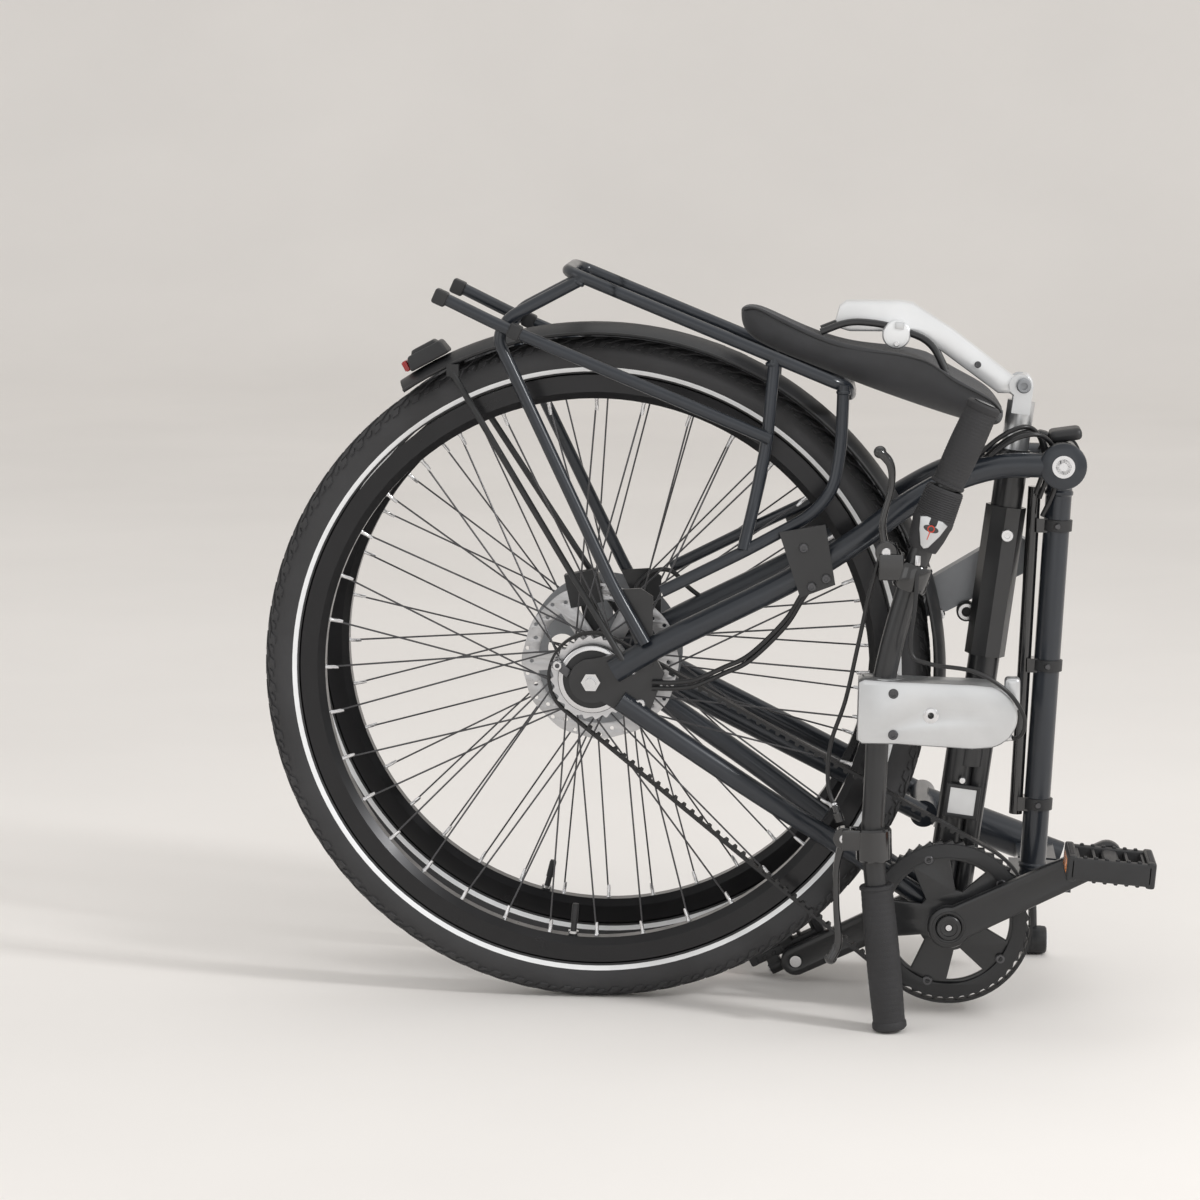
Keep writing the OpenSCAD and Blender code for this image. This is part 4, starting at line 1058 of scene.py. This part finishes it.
def makeLever(name, path, body, node, pivot):
    points = smooth([at(x, barY, z) for x, z in path], 6)
    count = len(points)
    shape = bmesh.new()
    rings = []
    for i, p in enumerate(points):
        ahead = (points[min(i + 1, count - 1)] - points[max(i - 1, 0)]).normalized()
        side = Vector((0, 1, 0))
        flat = side.cross(ahead).normalized()
        t = i / (count - 1)
        wide = 6.4 - 1.6 * math.sin(math.pi * t) + (1.4 if t > 0.9 else 0)
        thin = 4.6 - 1.5 * math.sin(math.pi * min(t * 1.2, 1))
        ringPoints = []
        for k in range(16):
            a = 2 * math.pi * k / 16
            c, s = math.cos(a), math.sin(a)
            ringPoints.append(shape.verts.new(p + (side * wide * math.copysign(abs(c) ** 0.7, c)
                                                   + flat * thin * math.copysign(abs(s) ** 0.7, s)) / 1000))
        rings.append(ringPoints)
    for one, two in zip(rings, rings[1:]):
        for k in range(16):
            n = (k + 1) % 16
            shape.faces.new((one[k], one[n], two[n], two[k]))
    shape.faces.new(rings[0][::-1])
    shape.faces.new(rings[-1])
    blade = meshObject(name, shape, 50, paints["glossBlack"])
    ball = lathe("tip", [(0, -6)] + [(6.2 * math.sin(a), -6.2 * math.cos(a)) for a in
                                     [math.pi * k / 10 for k in range(1, 10)]] + [(0, 6)], points[-1],
                 (0, 1, 0), paints["glossBlack"], 20)
    hub = lathe("hub", [(0, -6.9), (9.8, -6.9), (10.8, -6), (10.8, 6), (9.8, 6.9), (0, 6.9)],
                at(pivot[0], barY, pivot[1]),
                (0, 1, 0), paints["glossBlack"], 28)
    bolt = lathe("bolt", [(0, 6.9), (4.6, 6.9), (4.6, 8.6), (3.8, 9.4), (2.4, 9.4), (2.2, 7.6), (0, 7.5)],
                 at(pivot[0], barY, pivot[1]), (0, -1, 0), paints["brightSteel"], 16)
    settle(joined(name, [blade, ball, hub, bolt]), body, "gloss_black", node)


def makePerches():
    parts = []
    run = (at(317, barY, 126) - at(309, barY, 102)).normalized()
    parts.append(lathe("leverPerches", [(11.3, -13), (15.4, -13), (16.8, -11), (16.8, 11), (15.4, 13),
                                        (11.3, 13)],
                       at(313, barY, 114), run, paints["glossBlack"], 36, True))
    run = (at(278, barY, -132) - at(279, barY, -164)).normalized()
    parts.append(lathe("perch", [(11.3, -16), (16.2, -16), (17.8, -14), (17.8, 14), (16.2, 16),
                                 (11.3, 16)],
                       at(278.5, barY, -148), run, paints["glossBlack"], 36, True))
    for s in (-1, 1):
        parts.append(block("ear", (24, 4.4, 25), at(293, barY + s * 9.6, 124), paints["glossBlack"], 0,
                           1.8, 3))
        parts.append(block("ear", (22, 4.4, 20), at(259, barY + s * 9.6, -143), paints["glossBlack"], 0,
                           1.8, 3))
    # cable adjusters
    for spot, aim in (((300, 131), (-0.35, 0, 0.9)), ((246, -126), (-0.3, 0, 0.95))):
        parts.append(lathe("adjuster", [(0, 0), (4.4, 0), (4.4, 9), (3.2, 10), (3.2, 16), (2.6, 17),
                                        (0, 17)],
                           at(spot[0], barY, spot[1]), aim, paints["glossBlack"], 14))
    settle(joined("leverPerches", parts), "handlebar_unit", "gloss_black", "lever_perches")


def makeStem():
    # a deep forged stem: a rounded side plate, its clamp with two bolts, and the recessed hole
    plateLoop = [(262, 15), (268, 18), (300, 16), (372, 14)]
    plateLoop += [(384 + 31 * math.cos(a), -18 + 31 * math.sin(a)) for a in
                  [math.radians(78 - k * 156 / 16) for k in range(17)]]
    plateLoop += [(372, -50), (300, -46), (266, -46), (261, -42)]
    hole = disc(332, -17, 3.05, 24)
    face = cutPlate("stem", plateLoop, [hole], -151.8, -110, paints["satinSilver"], 4.5)
    ringHole = lathe("holeRing", [(3.1, 151.4), (7.4, 151.4), (7.4, 152.3), (6.6, 152.8), (3.1, 152.8)],
                     at(332, 0, -17), (0, -1, 0), paints["brightSteel"], 28, True)
    barrelRun = (at(286, barY, 17) - at(283, barY, -45)).normalized()
    clamp = lathe("clamp", [(12.4, -31), (20.4, -31), (21.9, -29), (21.9, 29), (20.4, 31), (12.4, 31)],
                  at(284.5, barY, -14), barrelRun, paints["satinSilver"], 48, True)
    parts = [face, ringHole, clamp]
    for z in (4, -36):
        parts.append(lathe("stemBolt", [(0, 149.5), (4.8, 149.5), (4.8, 153.6), (4, 154.6), (2.5, 154.6),
                                        (2.3, 152), (0, 151.8)], at(296, 0, z), (0, -1, 0),
                                        paints["darkSteel"], 18))
    parts.append(block("stemTab", (15, 18, 32), at(410, -130, 2), paints["satinSilver"], 0, 5, 4))
    settle(joined("stem", parts), "handlebar_unit", "satin_silver", "stem")


def makeShifter():
    # twist shifter: fluted cone, then a pale pointed window with a plain dial
    top, end = at(344, barY, 200), at(322, barY, 141)
    run = end - top
    length = run.length * 1000
    profile = [(12.2, 0.2), (17.2, 0.2), (18.2, 1.4)]
    for k in range(12):
        a = 3 + k * 2.2
        profile += [(18.2 + k * 0.1, a), (18.7 + k * 0.1, a + 0.6), (18.7 + k * 0.1, a + 1.3),
                    (18.2 + k * 0.1, a + 1.9)]
    profile += [(19.9, 31), (19.9, 36), (19.2, 38), (17.4, 50), (14.6, length - 2), (14, length - 0.3),
                (12.2, length - 0.3)]
    barrel = lathe("twistShifter", profile, top, run, paints["gripRubber"], 48, True)
    lean = math.degrees(math.atan2(run.x, -run.z))
    spot = top.lerp(end, 0.68) - rearMid
    panel = [(-14, 11), (-8, 13.4), (8, 13.4), (14, 11), (10.5, -1), (4, -15), (0, -17.5), (-4, -15),
             (-10.5, -1)]
    window = cutPlate("window", panel, [], -4, 0, paints["satinSilver"], 1.4)
    oval = cutPlate("oval", [(7.6 * math.cos(a), 3 + 3.4 * math.sin(a)) for a in
                             [2 * math.pi * k / 24 for k in range(24)]], [], -4.5, -3.6,
                             paints["glossBlack"], 0.3)
    ringDial = cutPlate("dialRing", disc(0, 3, 3.6, 24), [disc(0, 3, 2.5, 24)], -5, -4.2,
                        paints["dialRed"], 0.2)
    needle = cutPlate("needle", [(-0.5, -0.5), (0.5, -0.5), (0.4, -8), (-0.4, -8)], [], -4.6, -3.8,
                      paints["dialRed"], 0.15)
    face = joined("face", [window, oval, ringDial, needle])
    face.data.transform(Matrix.Translation(-rearMid))
    face.data.transform(Matrix.Translation(rearMid + spot + Vector((0, -0.0155, 0))) @ Matrix.Rotation(
        math.radians(-lean), 4, "Y"))
    settle(joined("twistShifter", [barrel, face]), "shifter", "grip_rubber", "twist_shifter")


def makeHandlebar():
    line = smooth([at(x, barY, z) for x, z in bar["path"]], 8)
    tube = tubes("handlebarTube", [line], tubeSizes["bar"], paints["blackPaint"], 32)
    settle(tube, "handlebar_unit", "black_paint", "handlebar")
    grips = makeGrip("grips", at(345, barY, 202), at(380, barY, 281))
    grips += makeGrip("grip", at(281.5, barY, -188), at(296, barY, -331.4))
    settle(joined("grips", grips), "handlebar_unit", "grip_rubber", "grips")
    makePerches()
    makeLever("upperBrakeLever", bar["upperLever"], "upper_lever", "brake_lever_upper", (288, 138))
    makeLever("lowerBrakeLever", bar["lowerLever"], "lower_lever", "brake_lever_lower", (250, -142))
    makeStem()
    makeShifter()


makeHandlebar()
print("handlebar ready")


# ---- saddle and seatpost ----

saddle = {
    "stations": (  # along, half width, rim height, padded side, hollow under the shell
        (143.5, 6, 362, 351, 0), (147, 14, 366, 340, 2), (160, 20, 367, 329, 4), (190, 24, 352, 316, 5),
        (230, 29, 335, 301, 6), (262, 36, 328, 288, 7), (296, 49, 325, 276, 9), (326, 64, 319, 266, 11),
        (352, 73, 302, 258, 12), (374, 75.5, 291, 252, 12), (390, 68, 281, 249, 8),
        (398, 50, 270, 251, 4),
        (401, 26, 265, 256, 1)),
    "ringPoints": 32,
}


def makeSaddle():
    shape = bmesh.new()
    rings = []
    count = saddle["ringPoints"]
    for along, half, rim, pad, hollow in saddle["stations"]:
        ringPoints = []
        for k in range(count):
            a = 2 * math.pi * k / count
            c, s = math.cos(a), math.sin(a)
            y = half * math.copysign(abs(c) ** 0.82, c)
            if s < 0:   # padded side, crowned, with a sewn line where the side panel starts
                depth = abs(s) ** 0.78
                z = rim - 3 - (rim - 3 - pad) * depth
                if 0.30 < depth < 0.46:
                    y *= 0.975
            else:       # shell side, hollow between its two rims
                z = rim - 3 + 3 * min(s * 4, 1) - hollow * (s ** 2)
            ringPoints.append(shape.verts.new(at(along, y, z)))
        rings.append(ringPoints)
    for one, two in zip(rings, rings[1:]):
        for k in range(count):
            n = (k + 1) % count
            shape.faces.new((one[k], one[n], two[n], two[k]))
    shape.faces.new(rings[0])
    shape.faces.new(rings[-1])
    bmesh.ops.triangulate(shape, faces=[f for f in shape.faces if len(f.verts) > 4])
    cushion = meshObject("saddlePad", shape, 180, paints["saddleCover"])
    soften = cushion.modifiers.new("soften", "SUBSURF")
    soften.levels = soften.render_levels = 2
    settle(cushion, "saddle_unit", "saddle_cover", "saddle")
    # a raised seam follows the edge where cover and shell meet
    seam = []
    for side in (-1, 1):
        line = [at(along, side * (half * 0.985 + 0.2), rim - 4.2) for along, half, rim, pad, hollow
                in saddle["stations"][1:-1]]
        seam.append(smooth(line, 4))
    settle(tubes("saddleSeam", seam, 1.1, paints["blackPlastic"], 8), "saddle_unit", "black_plastic")

    rail = ((222, 22, 341), (250, 22, 352), (285, 22, 349), (330, 24, 333), (346, 34, 300))
    paths = [rounded([at(x, side * y, z) for x, y, z in rail], 16) for side in (-1, 1)]
    settle(tubes("saddleRails", paths, tubeSizes["rail"], paints["blackPaint"], 16), "saddle_unit",
           "black_paint",
           "saddle_rails")


def makeSaddleArm():
    # pale forged arm with its rounded end block, rail clamps and pivot ring
    loop = [(236, 352), (240, 366), (247, 371), (300, 371), (312, 369), (352, 343), (412, 297)]
    loop += [(418 + 13 * math.cos(a), 289 + 13 * math.sin(a)) for a in
             [math.radians(60 - k * 200 / 12) for k in range(13)]]
    loop += [(396, 281), (340, 322), (300, 341), (250, 341), (240, 344)]
    arm = cutPlate("saddleArm", loop, [disc(418, 289, 5.1, 24)], -12.6, 12.6, paints["armSilver"], 3.2)
    parts = [arm]
    for side in (-1, 1):
        parts.append(lathe("railClamp", [(0, 12), (13.8, 12), (14, 13), (14, 25), (12.6, 27.4), (9, 28),
                                         (0, 28)],
                           at(296, 0, 339), (0, side, 0), paints["armSilver"], 36))
        parts.append(block("clampKey", (9, 3, 7), at(299, side * 28.2, 348), paints["satinSilver"], 8,
                           0.9, 2))
        parts.append(lathe("clampScrew", [(0, 28), (2.6, 28), (2.6, 29.4), (2, 29.9), (1.2, 29.9),
                                          (1.1, 28.9), (0, 28.8)],
                           at(296, 0, 330), (0, side, 0), paints["brightSteel"], 14))
        parts.append(lathe("pivotRing", [(5.4, 12.4), (9.4, 12.4), (9.4, 13.4), (8.6, 14), (5.4, 14)],
                           at(418, 0, 289),
                           (0, side, 0), paints["brightSteel"], 28, True))
    parts.append(lathe("saddleScrew", [(0, 12.4), (3.4, 12.4), (3.4, 13.6), (2.8, 14.2), (1.7, 14.2),
                                       (1.6, 13.2),
                                       (0, 13.1)], at(376, 0, 309), (0, -1, 0), paints["darkSteel"], 14))
    settle(joined("saddleArm", parts), "saddle_unit", "satin_silver", "saddle_arm")
    # knurled bolt on top of the seatpost
    knurl = [(0, 0), (6.6, 0)]
    for k in range(5):
        knurl += [(7.2, 0.6 + k * 1.6), (6.6, 1.4 + k * 1.6)]
    knurl += [(6, 9.2), (3.6, 9.2), (3.4, 7), (0, 7)]
    nut = lathe("postBolt", knurl, at(421, -16.4, 289), (0, -1, 0), paints["grayPaint"], 24)
    settle(nut, "seat_column", "steel")


makeSaddle()
makeSaddleArm()
print("saddle ready")


# ---- control cables, held at both ends ----

cables = {
    "rear": ((96, -77, -4), (107, -78, -1), (130, -73, 9), (156, -70, 22), (190, -72, 56), (208, -84, 86),
             (222, -86, 104)),
    "caliper": ((34, 62, 66), (39, 66, 80), (55, 70, 91), (72, 72, 90), (88, 74, 74), (104, 74, 62)),
    "hingeOver": ((360, -42, 196), (396, -44, 232), (424, -40, 246), (440, -28, 236), (446, -20, 208),
                  (438, -16, 178)),
    "hingeOuter": ((372, -52, 206), (404, -56, 236), (434, -50, 244), (452, -34, 226), (453, -18, 190),
                   (441, -15, 160)),
    "barShort": ((286, -128, 148), (272, -126, 96), (262, -124, 48), (250, -122, -8), (236, -118, -52),
                 (234, -120, -92),
                 (243, -126, -118)),
    "barLoop": ((318, -139, 136), (316, -150, 92), (312, -156, 46), (330, -157, 34), (372, -156, 27),
                (404, -154, 8),
                (421, -149, -18), (418, -140, -38), (402, -132, -42)),
}


def makeCables():
    stuff = paints["cableBlack"]
    size = tubeSizes["cable"]

    def line(key, dx=0, dy=0, dz=0):
        return smooth([at(x + dx, y + dy, z + dz) for x, y, z in cables[key]], 7)

    low = [at(x, y, z) for x, y, z in ((60, -75.5, -6), (80, -76.5, -6), (98, -77, -4))]
    first = smooth(low + [at(x, y, z) for x, y, z in cables["rear"][1:]], 7)
    runs = [first, [p + Vector((0, -0.001, 0.006)) for p in first]]
    settle(tubes("frameCables", runs, size, stuff, 12), "rear_frame", "black_plastic", "frame_cables")
    settle(tubes("caliperHose", [line("caliper")], size, stuff, 12), "rear_frame", "black_plastic")
    settle(tubes("hingeCables", [line("hingeOver"), line("hingeOuter"), line("hingeOver", -4, -5, 5)],
                 size, stuff, 12),
           "rear_frame", "black_plastic")
    settle(tubes("barCables", [line("barShort"), line("barLoop")], 2.1, stuff, 12), "handlebar_unit",
           "black_plastic")
    ferrules = []
    for key in ("barShort", "barLoop"):
        for end, ahead in ((0, 1), (-1, -2)):
            spots = [at(*p) for p in cables[key]]
            ferrules.append(lathe("cableEnds", [(2.2, 0), (3.1, 0.5), (3.1, 9), (2.6, 10), (2.2, 10)],
                                  spots[end],
                                  spots[ahead] - spots[end], paints["brightSteel"], 14, True))
    settle(joined("cableEnds", ferrules), "handlebar_unit", "steel")


makeCables()
print("cables ready")


# ---- finishes of the carried-over parts ----

nodeFinish = {
    "seat_tube": "blackPaint", "left_pedal_stub": "brightSteel", "hinge_eyes": "blackPaint",
    "dropouts": "blackPaint", "seat_clamp": "blackPaint", "badge_plate": "satinSilver",
    "rear_axle": "brightSteel", "hub_anchor": "blackPlastic", "rack_plates": "blackPaint",
    "frame_bolts": "darkSteel", "rear_fender": "blackPlastic", "fender_stays": "blackPlastic",
    "tail_light_housing": "blackPlastic", "tail_light_lens": "lensRed",
    "rear_brake_caliper": "blackPlastic",
    "drive_belt": "beltRubber", "folded_wheel_latch": "grayPaint", "stem_cradle": "grayPaint",
    "hinge_pin": "brightSteel", "rear_rim": "rimBlack", "rear_spokes": "darkSteel",
    "rear_hub": "satinSilver",
    "rear_sprocket": "brushedSteel", "main_beam": "framePaint", "cable_conduit": "glossBlack",
    "head_block": "framePaint", "front_hinge_pin": "brightSteel", "headlight": "blackPlastic",
    "fork": "framePaint", "front_axle": "brightSteel", "front_rim": "rimBlack",
    "front_spokes": "darkSteel",
    "front_hub": "grayPaint", "seatpost": "satinSilver", "saddle_arm": "armSilver", "stem": "satinSilver",
    "grips": "gripRubber", "lever_perches": "glossBlack", "twist_shifter": "blackPlastic",
}


def paintFrame():
    # every carried-over part gets its finish, replaced ones too
    for name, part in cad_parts.items():
        chosen = paints[nodeFinish.get(name, "blackPlastic")]
        for holder in part.material_slots:
            holder.material = chosen


paintFrame()
